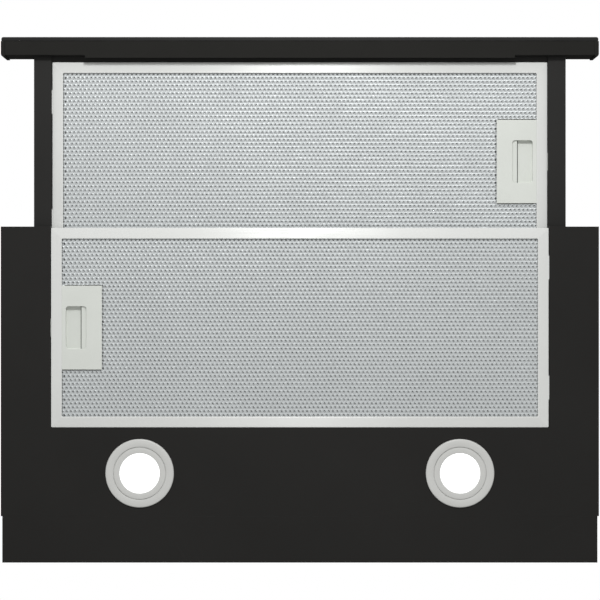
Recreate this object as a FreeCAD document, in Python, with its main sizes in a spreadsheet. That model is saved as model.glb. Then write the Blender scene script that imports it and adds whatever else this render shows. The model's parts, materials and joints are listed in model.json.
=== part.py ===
"""Pull-out range hood for a 600 mm wall cabinet, as an assembly of separate pieces.

Lengths are in millimetres. Sketches and places are drawn from the tray: x runs from its middle to the
right, y from its front edge to the back and z up from its underside. The visor stands fully drawn out.
Each sub-part's placement then carries it to the part's origin, which lies on the duct collar's axis where
the tube leaves its flange, with +Z up.
"""
import FreeCAD, Part
import math
import os
import re
import Sketcher

# Driving sizes, by the piece that carries them
SIZES = {
    # Tray, rear spacer and upper housing
    "hood_width": 598,
    "tray_depth": 289.5,
    "tray_height": 41,
    "tray_sheet": 1,
    "tray_flange": 11,
    "spacer_depth": 46.5,
    "spacer_inset": 1.5,
    "housing_inset": 36,
    "housing_setback": 8,
    "housing_back_gap": 5.5,
    "housing_flange": 10,
    "deck_side_strip": 62,
    "deck_front_strip": 22,
    "deck_rear_strip": 84,
    "cabinet_screw_inset": 18,
    "cabinet_screw_front": 40,
    "cabinet_screw_rear": 39.5,
    "cabinet_screw_hole": 2.75,
    "rim_sheet": 0.8,
    "rim_height": 9,
    # Filter cassettes and their catches
    "filter_from_side": 50.25,
    "lamp_strip": 88.2,
    "filter_height": 9,
    "filter_face": 10.8,
    "filter_wall": 1,
    "filter_play": 0.5,
    "net_sheet": 0.6,
    "net_hold": 8,
    "net_strand": 3.2,
    "net_cells_long": 12,
    "net_cells_wide": 7,
    "net_back_strand": 5,
    "net_back_long": 5,
    "net_back_wide": 4,
    "plate_length": 84,
    "plate_width": 40,
    "plate_sheet": 1.6,
    "window_length": 42.8,
    "window_width": 20.4,
    "window_inset": 3.9,
    "window_corner": 3,
    "catch_wall": 1.2,
    "catch_bar": 4.4,
    "catch_travel": 5,
    "catch_depth": 5.1,
    "tongue_width": 18,
    "tongue_sheet": 2.5,
    "tongue_reach": 4.5,
    "tab_width": 24,
    "tab_sheet": 1.5,
    "tab_reach": 4,
    "tab_spread": 60,
    # Visor
    "filter_lap": 33,
    "visor_gap": 0.5,
    "visor_sheet": 1,
    "visor_lift": 10,
    "visor_top_gap": 5,
    "visor_channel": 17.75,
    "visor_back_gap": 12,
    "slide_play": 0.6,
    "visor_bar_depth": 9.5,
    "filter_lift": 2,
    "profile_depth": 14.0,
    "profile_setback": 4.5,
    "profile_lip": 3.0,
    "profile_lip_inset": 84.0,
    "profile_wall": 1.2,
    "profile_corner": 0.8,
    "cap_length": 4,
    "trim_depth": 4,
    "trim_inset": 0.5,
    "trim_corner": 2,
    # Telescopic slides
    "rail_wall": 1.2,
    "rail_play": 0.4,
    "rail_inner_height": 11.6,
    "rail_inner_depth": 6,
    "rail_depth": 13,
    "rail_middle_short": 70,
    "rail_drop": 4,
    "rail_setback": 10,
    "rail_back_gap": 9.5,
    "rail_lap": 2.5,
    # Lamps
    "lamp_spread": 320.2,
    "lamp_back": 42.9,
    "lamp_ring": 34.2,
    "lamp_can": 26.5,
    "lamp_disc": 20,
    "lamp_drop": 2.2,
    "lamp_can_height": 24,
    "lamp_disc_sheet": 2,
    "lamp_groove": 0.4,
    "lamp_play": 0.3,
    # Blower
    "impeller_radius": 48,
    "impeller_length": 88,
    "impeller_blade_depth": 9,
    "impeller_sheet": 0.8,
    "impeller_blades": 20,
    "blade_lean": 3.5,
    "hub_radius": 9,
    "hub_length": 12,
    "scroll_gap": 8,
    "scroll_growth": 8,
    "scroll_play": 3,
    "scroll_sheet": 1.2,
    "scroll_inlet_lap": 8,
    "scroll_top_gap": 16.8,
    "scroll_floor_gap": 2,
    "scroll_neck": 10,
    "motor_gap": 6,
    "motor_length": 66,
    "motor_front": 7,
    "shaft_seat": 6,
    "motor_play": 0.1,
    "shaft_radius": 4,
    "shaft_play": 0.05,
    "shaft_tail": 6,
    "bracket_sheet": 2,
    "bracket_ring": 4,
    "bracket_arm": 12,
    "bracket_arms": 3,
    "capacitor_radius": 15,
    "capacitor_height": 48,
    "capacitor_terminal": 7,
    "capacitor_terminal_radius": 2.5,
    # Duct collar and flaps
    "collar_radius": 60,
    "collar_height": 23,
    "collar_wall": 2,
    "collar_flange": 10,
    "collar_flange_sheet": 2,
    "collar_ledge": 4,
    "collar_ledge_height": 4.5,
    "collar_bar": 5,
    "collar_bar_height": 4,
    "flap_sheet": 1.2,
    "flap_play": 0.7,
    "flap_seat_play": 0.2,
    "flap_knuckle": 1.8,
    "flap_pin": 1.1,
    "flap_pin_play": 0.2,
    "flap_axis_offset": 3.2,
    # Electrics
    "terminal_length": 70,
    "terminal_depth": 45,
    "terminal_height": 36,
    "terminal_from_side": 40,
    "terminal_from_back": 14,
    "gland_radius": 7.8,
    "gland_bore": 4,
    "gland_nut": 11,
    "gland_nut_height": 5,
    "gland_dome": 9,
    "gland_height": 14,
    "gland_depth": 8,
    "gland_play": 0.2,
    "driver_length": 90,
    "driver_width": 38,
    "driver_height": 24,
    "driver_corner": 3,
    "switch_length": 22,
    "switch_depth": 10,
    "switch_height": 12,
    "switch_gap": 2,
    "magnet_length": 12,
    "magnet_depth": 3,
    "magnet_height": 6,
    # Slide switches in the visor's front
    "slot_play": 0.4,
    "knob_width": 9,
    "knob_height": 8,
    "stem_width": 6,
    "stem_height": 4,
    "speed_travel": 24,
    "light_travel": 8,
    "control_from_side": 40,
    "control_pitch": 46,
    "control_margin": 12,
    "control_depth": 9.6,
    "control_height": 26,
    # One overrun for all cuts
    "overrun": 5,
}

# Places that follow from the sizes
PLACES = {
    "half_width": "hood_width / 2",
    "deck_under": "tray_height - tray_sheet",
    "tray_wall_face": "half_width - tray_sheet",
    "spacer_half": "half_width - spacer_inset",
    "spacer_back": "tray_depth + spacer_depth",
    "housing_half": "half_width - housing_inset",
    "scroll_shift": "scroll_growth / 2",
    "scroll_first": "impeller_radius + scroll_gap",
    "scroll_low": "scroll_shift + scroll_first + scroll_growth + scroll_sheet",
    "housing_height": "tray_sheet + scroll_floor_gap + scroll_low + impeller_radius + scroll_top_gap",
    "housing_back": "tray_depth - housing_back_gap",
    "housing_under_top": "tray_height + housing_height - tray_sheet",
    "housing_top_face": "tray_height + housing_height",
    "housing_wall_front": "housing_setback + tray_sheet",
    "housing_wall_back": "housing_back - tray_sheet",
    "collar_y": "(housing_setback + housing_back) / 2",
    "collar_seat": "housing_top_face + collar_flange_sheet",
    "cabinet_screw_x": "half_width - cabinet_screw_inset",
    "cabinet_screw_back": "tray_depth - cabinet_screw_rear",
    "deck_hole_half": "housing_half - tray_sheet - deck_side_strip",
    "deck_hole_front": "housing_setback + deck_front_strip",
    "deck_hole_back": "housing_back - deck_rear_strip",
    # Filters
    "filter_half": "half_width - filter_from_side",
    "opening_half": "filter_half + filter_play",
    "rear_filter_front": "rim_sheet + filter_play",
    "filter_width": "tray_depth - lamp_strip - rear_filter_front - filter_play",
    "rear_filter_middle": "rear_filter_front + filter_width / 2",
    "opening_back": "rear_filter_front + filter_width + filter_play",
    "visor_travel": "filter_width - filter_lap",
    "visor_face": "-visor_travel - visor_gap",
    "front_filter_front": "visor_face + visor_sheet + filter_play",
    "front_filter_middle": "front_filter_front + filter_width / 2",
    "front_filter_under": "visor_lift + filter_lift",
    "plate_start": "filter_half - filter_face - plate_width",
    "plate_end": "filter_half - filter_face",
    "window_end": "plate_end - window_inset",
    "window_start": "window_end - window_width",
    "catch_under": "plate_sheet + rail_play",
    "catch_top": "catch_under + catch_depth",
    "catch_half": "window_length / 2 + catch_wall",
    # Visor
    "visor_tail": "tray_depth - tray_sheet - visor_travel - visor_back_gap",
    "profile_back": "visor_face - profile_setback",
    "profile_front": "profile_back - profile_depth",
    "trim_front": "profile_front - trim_depth",
    "trim_half": "half_width - trim_inset",
    "cap_start": "half_width - cap_length",
    "web_outside": "opening_half + visor_sheet",
    "channel_edge": "opening_half + visor_channel",
    "visor_top": "deck_under - visor_top_gap",
    "rear_bar_front": "front_filter_front + filter_width + filter_play",
    "rear_bar_back": "rear_bar_front + visor_bar_depth",
    "rear_bar_top": "front_filter_under + filter_height + visor_sheet",
    # Slides
    "rail_outer_back": "web_outside + rail_depth",
    "rail_outer_high": "deck_under - rail_drop",
    "rail_middle_high": "rail_outer_high - rail_wall - rail_play",
    "rail_inner_high": "rail_middle_high - rail_wall - rail_play",
    "rail_inner_low": "rail_inner_high - rail_inner_height",
    "rail_middle_low": "rail_inner_low - rail_wall - rail_play",
    "rail_rise": "rail_middle_low - rail_wall - rail_play",
    "rail_middle_back": "rail_outer_back - rail_wall - rail_play",
    "rail_middle_lip": "web_outside + rail_lap",
    "rail_outer_lip": "rail_middle_lip + rail_lap",
    "rail_inner_end": "visor_tail",
    "rail_outer_end": "tray_depth - rail_back_gap",
    "rail_length": "rail_outer_end - rail_setback",
    "rail_middle_length": "rail_length - rail_middle_short",
    "rail_middle_middle": "(rail_setback + rail_outer_end + 2 * rail_inner_end - rail_length) / 4",
    # Lamps
    "lamp_x": "lamp_spread / 2",
    "lamp_y": "tray_depth - lamp_back",
    # Blower
    "blower_z": "tray_height + scroll_floor_gap + scroll_low",
    "scroll_right_face": "scroll_shift + scroll_first + 2 * scroll_growth",
    "scroll_left_face": "-scroll_shift - scroll_neck",
    "blower_y": "collar_y - (scroll_right_face + scroll_left_face) / 2",
    "scroll_half": "impeller_length / 2 + scroll_play",
    "scroll_inlet": "impeller_radius - scroll_inlet_lap",
    "motor_radius": "impeller_radius - impeller_blade_depth - motor_gap",
    "motor_back": "motor_front + motor_length",
    # Collar, from the housing's top face
    "flap_axis_z": "collar_ledge_height + flap_seat_play + flap_knuckle",
    "flap_radius": "collar_radius - collar_wall - flap_play",
    # Electrics
    "terminal_x": "-housing_half + tray_sheet + terminal_from_side + terminal_length / 2",
    "terminal_y": "housing_wall_back - terminal_from_back - terminal_depth / 2",
    "deck_strip_x": "housing_half - tray_sheet - deck_side_strip / 2",
    "switch_front": "rear_bar_back + visor_travel + switch_gap",
    # Slide switches
    "control_z": "tray_height / 2",
    "light_x": "half_width - control_from_side - light_travel - knob_width / 2",
    "speed_x": "light_x - control_pitch - speed_travel",
    "control_face": "profile_front + profile_wall + slot_play",
}

# The part's document and its two sheets
doc = FreeCAD.newDocument("RangeHood")


def bound(text):
    """Give each name in a formula its sheet."""

    def place(match):
        word = match.group()
        if word in SIZES:
            return "Sizes." + word
        if word in PLACES:
            return "Places." + word
        return word

    return re.sub(r"[A-Za-z_]+", place, text)


def fill_sheet(name, rows):
    """Write one row for each named value: its name, and its number or formula under that alias."""
    sheet = doc.addObject("Spreadsheet::Sheet", name)
    for row, (alias, content) in enumerate(rows.items(), start=1):
        sheet.set(f"A{row}", alias)
        sheet.set(f"B{row}", content)
        sheet.setAlias(f"B{row}", alias)
    return sheet


sizes = fill_sheet("Sizes", {name: str(number) for name, number in SIZES.items()})
places = fill_sheet("Places", {name: "=" + bound(text) for name, text in PLACES.items()})
doc.recompute()


def size(name):
    """Read a named value from its sheet."""
    sheet = sizes if name in SIZES else places
    return float(sheet.get(name))


# Sub-parts, by the name of their node
subparts = {}


def to_origin(x="0", y="0", z="0"):
    """Formulas of a sub-part's placement, from a place on the tray."""
    return {"x": x, "y": f"{y} - collar_y", "z": f"{z} - collar_seat"}


def new_body(name, x="0", y="0", z="0"):
    """A sub-part whose own zero lies at a place on the tray."""
    body = doc.addObject("PartDesign::Body", "Body_" + name)
    body.Label = name
    for letter, text in to_origin(x, y, z).items():
        body.setExpression(f"Placement.Base.{letter}", bound(text))
    subparts[name] = body
    return body


def new_feature(name, shape, x="0", y="0", z="0"):
    """A sub-part with a ready shape, whose own zero lies at a place on the tray."""
    feature = doc.addObject("Part::Feature", "Shape_" + name)
    feature.Label = name
    feature.Shape = shape
    for letter, text in to_origin(x, y, z).items():
        feature.setExpression(f"Placement.Base.{letter}", bound(text))
    subparts[name] = feature
    return feature


def new_sketch(body, plane, offset):
    """A sketch on one of the body's own planes, moved along the plane's normal."""
    planes = {feature.Role: feature for feature in body.Origin.OriginFeatures}
    sketch = body.newObject("Sketcher::SketchObject", "Sketch")
    sketch.AttachmentSupport = [(planes[plane + "_Plane"], "")]
    sketch.MapMode = "FlatFace"
    sketch.setExpression("AttachmentOffset.Base.z", bound(offset))
    return sketch


def fix_point(sketch, geometry, vertex, place):
    """Hold a vertex of the sketch at a place given by two formulas."""
    for kind, text in zip(("DistanceX", "DistanceY"), place):
        index = sketch.addConstraint(Sketcher.Constraint(kind, -1, 1, geometry, vertex, 1.0))
        sketch.setExpression(f"Constraints[{index}]", bound(text))


def draw_outline(sketch, points):
    """A closed run of straight lines through points given by formulas."""
    first = sketch.GeometryCount
    count = len(points)
    turn = 2 * math.pi / count
    ring = [FreeCAD.Vector(math.cos(turn * i), math.sin(turn * i), 0) for i in range(count)]
    for i in range(count):
        sketch.addGeometry(Part.LineSegment(ring[i], ring[(i + 1) % count]))
    for i in range(count):
        after = first + (i + 1) % count
        sketch.addConstraint(Sketcher.Constraint("Coincident", first + i, 2, after, 1))
    for i, place in enumerate(points):
        fix_point(sketch, first + i, 1, place)


def draw_circle(sketch, centre, radius):
    """A circle whose centre and radius are given by formulas."""
    middle = FreeCAD.Vector(1, 1, 0)
    index = sketch.addGeometry(Part.Circle(middle, FreeCAD.Vector(0, 0, 1), 1))
    fix_point(sketch, index, 3, centre)
    limit = sketch.addConstraint(Sketcher.Constraint("Radius", index, 1.0))
    sketch.setExpression(f"Constraints[{limit}]", bound(radius))


def draw(sketch, outlines, circles):
    for points in outlines:
        draw_outline(sketch, points)
    for centre, radius in circles:
        draw_circle(sketch, centre, radius)


def add(body, plane, low, high, outlines=(), circles=()):
    """Pad a sketch from one place to another along the plane's axis."""
    backward = plane == "XZ"
    sketch = new_sketch(body, plane, f"-({high})" if backward else low)
    draw(sketch, outlines, circles)
    pad = body.newObject("PartDesign::Pad", "Pad")
    pad.Profile = sketch
    pad.setExpression("Length", bound(f"({high}) - ({low})"))
    return pad


def cut(body, plane, low, high, outlines=(), circles=()):
    """Pocket a sketch between two places along the plane's axis, and check that it took something away."""
    doc.recompute()
    before = body.Shape.Volume
    backward = plane == "XZ"
    sketch = new_sketch(body, plane, f"-({low})" if backward else high)
    draw(sketch, outlines, circles)
    pocket = body.newObject("PartDesign::Pocket", "Pocket")
    pocket.Profile = sketch
    pocket.setExpression("Length", bound(f"({high}) - ({low})"))
    doc.recompute()
    if not body.Shape.Volume < before:
        raise RuntimeError(f"{body.Label}: a pocket takes nothing away")
    return pocket


def turn_outline(body, axis, points):
    """Revolve an outline about the body's own X or Z axis. Its points are along X and Z."""
    axes = {feature.Role: feature for feature in body.Origin.OriginFeatures}
    sketch = new_sketch(body, "XZ", "0")
    draw_outline(sketch, points)
    revolution = body.newObject("PartDesign::Revolution", "Revolution")
    revolution.Profile = sketch
    revolution.ReferenceAxis = (axes[axis + "_Axis"], [""])
    revolution.Angle = 360
    return revolution


def round_edges(body, radius, chosen):
    """Fillet the edges that a test chooses."""
    doc.recompute()
    base = body.Tip
    names = [f"Edge{i}" for i, edge in enumerate(base.Shape.Edges, start=1) if chosen(edge)]
    fillet = body.newObject("PartDesign::Fillet", "Fillet")
    fillet.Base = (base, names)
    fillet.setExpression("Radius", bound(radius))
    return fillet


def upright(edge):
    """Whether an edge is straight and runs along Z."""
    if not isinstance(edge.Curve, Part.Line):
        return False
    return abs(edge.Curve.Direction.z) > math.cos(math.pi / 8)


def rectangle(left, right, low, high):
    return [(left, low), (right, low), (right, high), (left, high)]


def hexagon(corner):
    """The six corners of a nut, each at the distance corner from the axis."""
    flat = f"{corner} * sqrt(3) / 2"
    return [
        (corner, "0"), (f"{corner} / 2", flat), (f"-{corner} / 2", flat), (f"-{corner}", "0"),
        (f"-{corner} / 2", f"-{flat}"), (f"{corner} / 2", f"-{flat}"),
    ]


def channel(back, lip, low, high, wall, inward):
    """A folded channel's section: its web's face, its flanges' tips, and its lower and upper faces."""
    face = f"{back} - {wall}" if inward else f"{back} + {wall}"
    return [
        (back, low), (lip, low), (lip, f"{low} + {wall}"), (face, f"{low} + {wall}"),
        (face, f"{high} - {wall}"), (lip, f"{high} - {wall}"), (lip, high), (back, high),
    ]


def sided(points, side):
    """Points for the right side, or mirrored for the left."""
    if side == "right":
        return points
    return [(f"-({across})", along) for across, along in points]


def span(side, near, far):
    """The low and high ends of a stretch that runs outward on one side."""
    if side == "right":
        return near, far
    return f"-({far})", f"-({near})"


# Lower tray: the pan that shows from below, its side and rear walls and its deck
def around_opening(reach, back):
    """Outline round the filter opening's sides and back; the opening's front is free."""
    return [
        (f"-({reach})", "0"), ("-opening_half", "0"), ("-opening_half", "opening_back"),
        ("opening_half", "opening_back"), ("opening_half", "0"), (reach, "0"), (reach, back),
        (f"-({reach})", back),
    ]


def make_bottom_panel():
    """The pan: a sheet round the filter opening, its upturned rim and the lamps' holes."""
    body = new_body("bottom_panel")
    pan = around_opening("half_width", "tray_depth")
    rim = around_opening("opening_half + rim_sheet", "opening_back + rim_sheet")
    lamps = [((x, "lamp_y"), "lamp_can + lamp_play") for x in ("-lamp_x", "lamp_x")]
    add(body, "XY", "0", "tray_sheet", [pan], lamps)
    add(body, "XY", "0", "rim_height", [rim])
    # The rim is notched for the filter's hinge tabs on the right and its catch's tongue on the left
    notches = [
        rectangle(
            "opening_half - overrun", "opening_half + overrun",
            f"rear_filter_middle {sign} tab_spread - tab_width / 2 - filter_play",
            f"rear_filter_middle {sign} tab_spread + tab_width / 2 + filter_play",
        )
        for sign in "+-"
    ]
    notches.append(rectangle(
        "-opening_half - overrun", "-opening_half + overrun",
        "rear_filter_middle - tongue_width / 2 - filter_play",
        "rear_filter_middle + tongue_width / 2 + filter_play",
    ))
    cut(body, "XY", "tray_sheet", "rim_height", notches)


def make_tray_side(side):
    body = new_body(f"tray_{side}_side")
    section = channel(
        "half_width", "half_width - tray_flange", "tray_sheet", "deck_under", "tray_sheet", True
    )
    add(body, "XZ", "0", "tray_depth", [sided(section, side)])
    # The front end is closed by a return beside the visor's channel
    front = rectangle("channel_edge + slide_play", "tray_wall_face", "tray_sheet", "deck_under")
    add(body, "XZ", "0", "tray_sheet", [sided(front, side)])


def make_tray_rear_wall():
    body = new_body("tray_rear_wall")
    section = channel(
        "tray_depth", "tray_depth - tray_flange", "tray_sheet", "deck_under", "tray_sheet", True
    )
    reach = "half_width - tray_flange - rail_play"
    add(body, "YZ", f"-({reach})", reach, [section])


def make_tray_deck():
    """The tray's top sheet, with the air opening and the holes for the cabinet's screws."""
    body = new_body("tray_deck")
    sheet = rectangle("-half_width", "half_width", "0", "tray_depth")
    hole = rectangle("-deck_hole_half", "deck_hole_half", "deck_hole_front", "deck_hole_back")
    screws = [
        ((x, y), "cabinet_screw_hole")
        for x in ("-cabinet_screw_x", "cabinet_screw_x")
        for y in ("cabinet_screw_front", "cabinet_screw_back")
    ]
    add(body, "XY", "deck_under", "tray_height", [sheet, hole], screws)


def make_rear_spacer():
    """The strip that fills the depth between the tray and the wall."""
    body = new_body("rear_spacer")
    section = channel("spacer_back", "tray_depth", "0", "tray_height", "tray_sheet", True)
    add(body, "YZ", "-spacer_half", "spacer_half", [section])
    end = rectangle("tray_depth", "spacer_back", "0", "tray_height")
    add(body, "YZ", "-spacer_half", "-spacer_half + tray_sheet", [end])
    add(body, "YZ", "spacer_half - tray_sheet", "spacer_half", [end])


# Upper housing
def make_housing_wall(name, face, back, flange):
    """A front or rear wall: a web across the full width, with flanges between the side walls."""
    body = new_body(name)
    inward = name == "housing_rear"
    section = channel(face, flange, "tray_height", "housing_under_top", "tray_sheet", inward)
    reach = "housing_half - housing_flange - rail_play"
    add(body, "YZ", f"-({reach})", reach, [section])
    low, high = (back, face) if inward else (face, back)
    web = rectangle(low, high, "tray_height", "housing_under_top")
    add(body, "YZ", "-housing_half", "housing_half", [web])


def make_housing():
    """Four folded walls on the deck and a top sheet with the holes for the collar and the cable gland."""
    make_housing_wall(
        "housing_front", "housing_setback", "housing_wall_front", "housing_setback + housing_flange"
    )
    make_housing_wall("housing_rear", "housing_back", "housing_wall_back", "housing_back - housing_flange")
    section = channel(
        "housing_half", "housing_half - housing_flange", "tray_height", "housing_under_top",
        "tray_sheet", True,
    )
    for side in ("left", "right"):
        wall = new_body(f"housing_{side}_side")
        add(wall, "XZ", "housing_wall_front", "housing_wall_back", [sided(section, side)])
    top = new_body("housing_top")
    sheet = rectangle("-housing_half", "housing_half", "housing_setback", "housing_back")
    holes = [
        (("0", "collar_y"), "collar_radius - collar_ledge - collar_wall"),
        (("terminal_x", "terminal_y"), "gland_radius + gland_play"),
    ]
    add(top, "XY", "housing_under_top", "housing_top_face", [sheet], holes)


# Filter cassettes. Both are alike: the rear one's catch is on the left, the front one's on the right.
def make_filter_frame(name, catch_side, x, y, z):
    """Folded aluminium channels round the nets, with two hinge tabs and the slot for the tongue."""
    hinge_side = "left" if catch_side == "right" else "right"
    body = new_body(name, x, y, z)
    half = "filter_width / 2"
    outside = rectangle("-filter_half", "filter_half", f"-{half}", half)
    inside = rectangle(
        "-filter_half + filter_wall", "filter_half - filter_wall",
        f"-{half} + filter_wall", f"{half} - filter_wall",
    )
    window = rectangle(
        "-filter_half + filter_face", "filter_half - filter_face",
        f"-{half} + filter_face", f"{half} - filter_face",
    )
    add(body, "XY", "0", "filter_height", [outside, window])
    cut(body, "XY", "filter_wall", "filter_height - filter_wall", [inside])
    tab_low = "filter_wall + lamp_play"
    near, far = span(hinge_side, "filter_half - filter_wall", "filter_half + tab_reach")
    tabs = [
        rectangle(near, far, f"{sign}tab_spread - tab_width / 2", f"{sign}tab_spread + tab_width / 2")
        for sign in ("", "-")
    ]
    for tab in tabs:
        add(body, "XY", tab_low, f"{tab_low} + tab_sheet", [tab])
    near, far = span(catch_side, "filter_half - filter_wall - catch_wall", "filter_half + overrun")
    slot = rectangle(near, far, "-tongue_width / 2 - filter_play", "tongue_width / 2 + filter_play")
    cut(body, "XY", "catch_under - rail_play / 2", "catch_under + tongue_sheet + rail_play / 2", [slot])


def diamond(x, y, half_long, half_wide):
    """A lozenge mesh opening as a closed wire."""
    corners = [(x - half_long, y), (x, y - half_wide), (x + half_long, y), (x, y + half_wide)]
    points = [FreeCAD.Vector(across, along, 0) for across, along in corners]
    return Part.makePolygon(points + points[:1])


def block_wire(left, right, low, high):
    corners = [(left, low), (right, low), (right, high), (left, high)]
    points = [FreeCAD.Vector(across, along, 0) for across, along in corners]
    return Part.makePolygon(points + points[:1])


def net_sheet(catch_sign, cells_long, cells_wide, strand):
    """One expanded net: rows of lozenge openings, every other row moved by half a cell."""
    half_long = size("filter_half") - size("filter_face") + size("net_hold")
    half_wide = size("filter_width") / 2 - size("filter_face") + size("net_hold")
    near = size("plate_start") - size("flap_seat_play")
    plate_half = size("plate_length") / 2 + size("flap_seat_play")
    outline = block_wire(-half_long, half_long, -half_wide, half_wide)
    # The catch plate's bay is cut out up to the frame
    bay_ends = sorted((catch_sign * near, catch_sign * (half_long - size("net_hold"))))
    bay = block_wire(bay_ends[0], bay_ends[1], -plate_half, plate_half)
    # Lozenges of these half diagonals would fill the sheet. They are drawn in by half a strand all round.
    reach_long = half_long - strand
    reach_wide = half_wide - strand
    across = reach_long / cells_long
    along = 2 * reach_wide / cells_wide
    inner_radius = across * along / math.hypot(across, along)
    shrink = 1 - strand / 2 / inner_radius
    holes = []
    for row in range(1, cells_wide):
        y = -reach_wide + along * row
        shifted = row % 2
        for cell in range(cells_long - shifted):
            x = -reach_long + across * (2 * cell + 1 + shifted)
            if catch_sign * x < near - across or abs(y) > plate_half + along:
                holes.append(diamond(x, y, across * shrink, along * shrink))
    return Part.makeFace([outline, bay] + holes, "Part::FaceMakerBullseye")


def make_filter_mesh(name, catch_side, x, y, z):
    """The lower and the upper net, each held between the frame's lips."""
    catch_sign = 1 if catch_side == "right" else -1
    thick = size("net_sheet")
    lower = net_sheet(
        catch_sign, int(size("net_cells_long")), int(size("net_cells_wide")), size("net_strand")
    ).extrude(FreeCAD.Vector(0, 0, thick))
    lower.translate(FreeCAD.Vector(0, 0, size("filter_wall")))
    upper = net_sheet(
        catch_sign, int(size("net_back_long")), int(size("net_back_wide")), size("net_back_strand")
    ).extrude(FreeCAD.Vector(0, 0, thick))
    upper.translate(FreeCAD.Vector(0, 0, size("filter_height") - size("filter_wall") - thick))
    new_feature(name, Part.makeCompound([lower, upper]), x, y, z)


def make_handle_plate(name, catch_side, x, y, z):
    """The plate round the catch's window, with two guides for the catch."""
    body = new_body(name, x, y, z)
    near, far = span(catch_side, "plate_start", "plate_end")
    plate = rectangle(near, far, "-plate_length / 2", "plate_length / 2")
    add(body, "XY", "0", "plate_sheet", [plate])
    near, far = span(catch_side, "window_start", "window_end")
    window = rectangle(near, far, "-window_length / 2", "window_length / 2")
    cut(body, "XY", "-overrun", "plate_sheet + overrun", [window])
    reach = size("window_length") / 2 + size("window_corner")
    round_edges(body, "window_corner", lambda edge: upright(edge) and abs(edge.CenterOfMass.y) < reach)
    near, far = span(catch_side, "window_start - catch_travel - catch_wall", "plate_end")
    for sign in ("", "-"):
        inside = f"{sign}(catch_half + rail_play)"
        outside = f"{sign}(catch_half + rail_play + catch_wall)"
        guide = rectangle(near, far, inside, outside)
        add(body, "XY", "plate_sheet", "catch_top", [guide])


def make_filter_latch(name, catch_side, x, y, z):
    """The sliding catch: a finger cup with a pull bar at its inner end and a tongue at its outer one."""
    body = new_body(name, x, y, z)
    bar_end = "window_start + filter_play"
    near, far = span(catch_side, bar_end, "window_end + catch_wall")
    add(body, "XY", "catch_under", "catch_top", [rectangle(near, far, "-catch_half", "catch_half")])
    near, far = span(catch_side, f"{bar_end} + catch_bar", "window_end")
    pocket = rectangle(near, far, "-window_length / 2", "window_length / 2")
    cut(body, "XY", "catch_under - overrun", "catch_top - catch_wall", [pocket])
    near, far = span(catch_side, "window_end", "filter_half + tongue_reach")
    tongue = rectangle(near, far, "-tongue_width / 2", "tongue_width / 2")
    add(body, "XY", "catch_under", "catch_under + tongue_sheet", [tongue])


def make_filter(kind, catch_side, y, z):
    make_filter_frame(f"{kind}_filter_frame", catch_side, "0", y, z)
    make_filter_mesh(f"{kind}_filter_mesh", catch_side, "0", y, z)
    make_handle_plate(f"{kind}_filter_handle_plate", catch_side, "0", y, z)
    make_filter_latch(f"{kind}_filter_latch", catch_side, "0", y, z)


# Visor: the drawn-out carrier of the front filter
def make_visor_channel(side):
    """A folded side channel. Slots in its web take the front filter's hinge tabs or tongue."""
    body = new_body(f"visor_{side}_channel")
    section = [
        ("opening_half", "visor_lift"), ("channel_edge", "visor_lift"),
        ("channel_edge", "visor_lift + visor_sheet"), ("web_outside", "visor_lift + visor_sheet"),
        ("web_outside", "visor_top"), ("opening_half", "visor_top"),
    ]
    add(body, "XZ", "profile_back", "visor_tail", [sided(section, side)])
    low = "front_filter_under + filter_wall"
    high = "front_filter_under + catch_under + tongue_sheet + rail_play"
    near, far = span(side, "opening_half - overrun", "web_outside + overrun")
    if side == "left":
        slots = [
            (f"front_filter_middle {sign} tab_spread", "tab_width / 2 + filter_play") for sign in "+-"
        ]
    else:
        slots = [("front_filter_middle", "tongue_width / 2 + filter_play")]
    outlines = [rectangle(f"{at} - ({reach})", f"{at} + {reach}", low, high) for at, reach in slots]
    cut(body, "YZ", near, far, outlines)


def make_visor_bars():
    """Front and rear cross-members and the sheet on top that guides the air."""
    front = new_body("visor_front_bar")
    face = "front_filter_front - filter_play"
    section = [
        ("profile_back", "front_filter_under"), (face, "front_filter_under"),
        (face, "visor_top - visor_sheet"), ("visor_face + visor_bar_depth", "visor_top - visor_sheet"),
        ("visor_face + visor_bar_depth", "visor_top"), ("profile_back", "visor_top"),
        ("profile_back", "visor_top - visor_sheet"), ("visor_face", "visor_top - visor_sheet"),
        ("visor_face", "front_filter_under + visor_sheet"),
        ("profile_back", "front_filter_under + visor_sheet"),
    ]
    add(front, "YZ", "-opening_half", "opening_half", [section])
    rear = new_body("visor_rear_bar")
    section = channel(
        "rear_bar_front", "rear_bar_back", "front_filter_under", "rear_bar_top", "visor_sheet", False
    )
    add(rear, "YZ", "-opening_half", "opening_half", [section])
    top = new_body("visor_top_sheet")
    sheet = rectangle("-web_outside", "web_outside", "profile_back", "rear_bar_back")
    add(top, "XY", "visor_top", "visor_top + rim_sheet", [sheet])
    magnet = new_body("visor_magnet")
    half = "magnet_length / 2"
    block = rectangle(f"-{half}", half, "rear_bar_back - magnet_depth", "rear_bar_back")
    add(magnet, "XY", "visor_top - magnet_height", "visor_top", [block])


def control_window(x, travel, width, height):
    """The window that a slide switch's knob or stem runs in, seen from the front."""
    left = f"{x} - {width} / 2 - slot_play"
    right = f"{x} + {travel} + {width} / 2 + slot_play"
    low = f"control_z - {height} / 2 - slot_play"
    high = f"control_z + {height} / 2 + slot_play"
    return rectangle(left, right, low, high)


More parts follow.
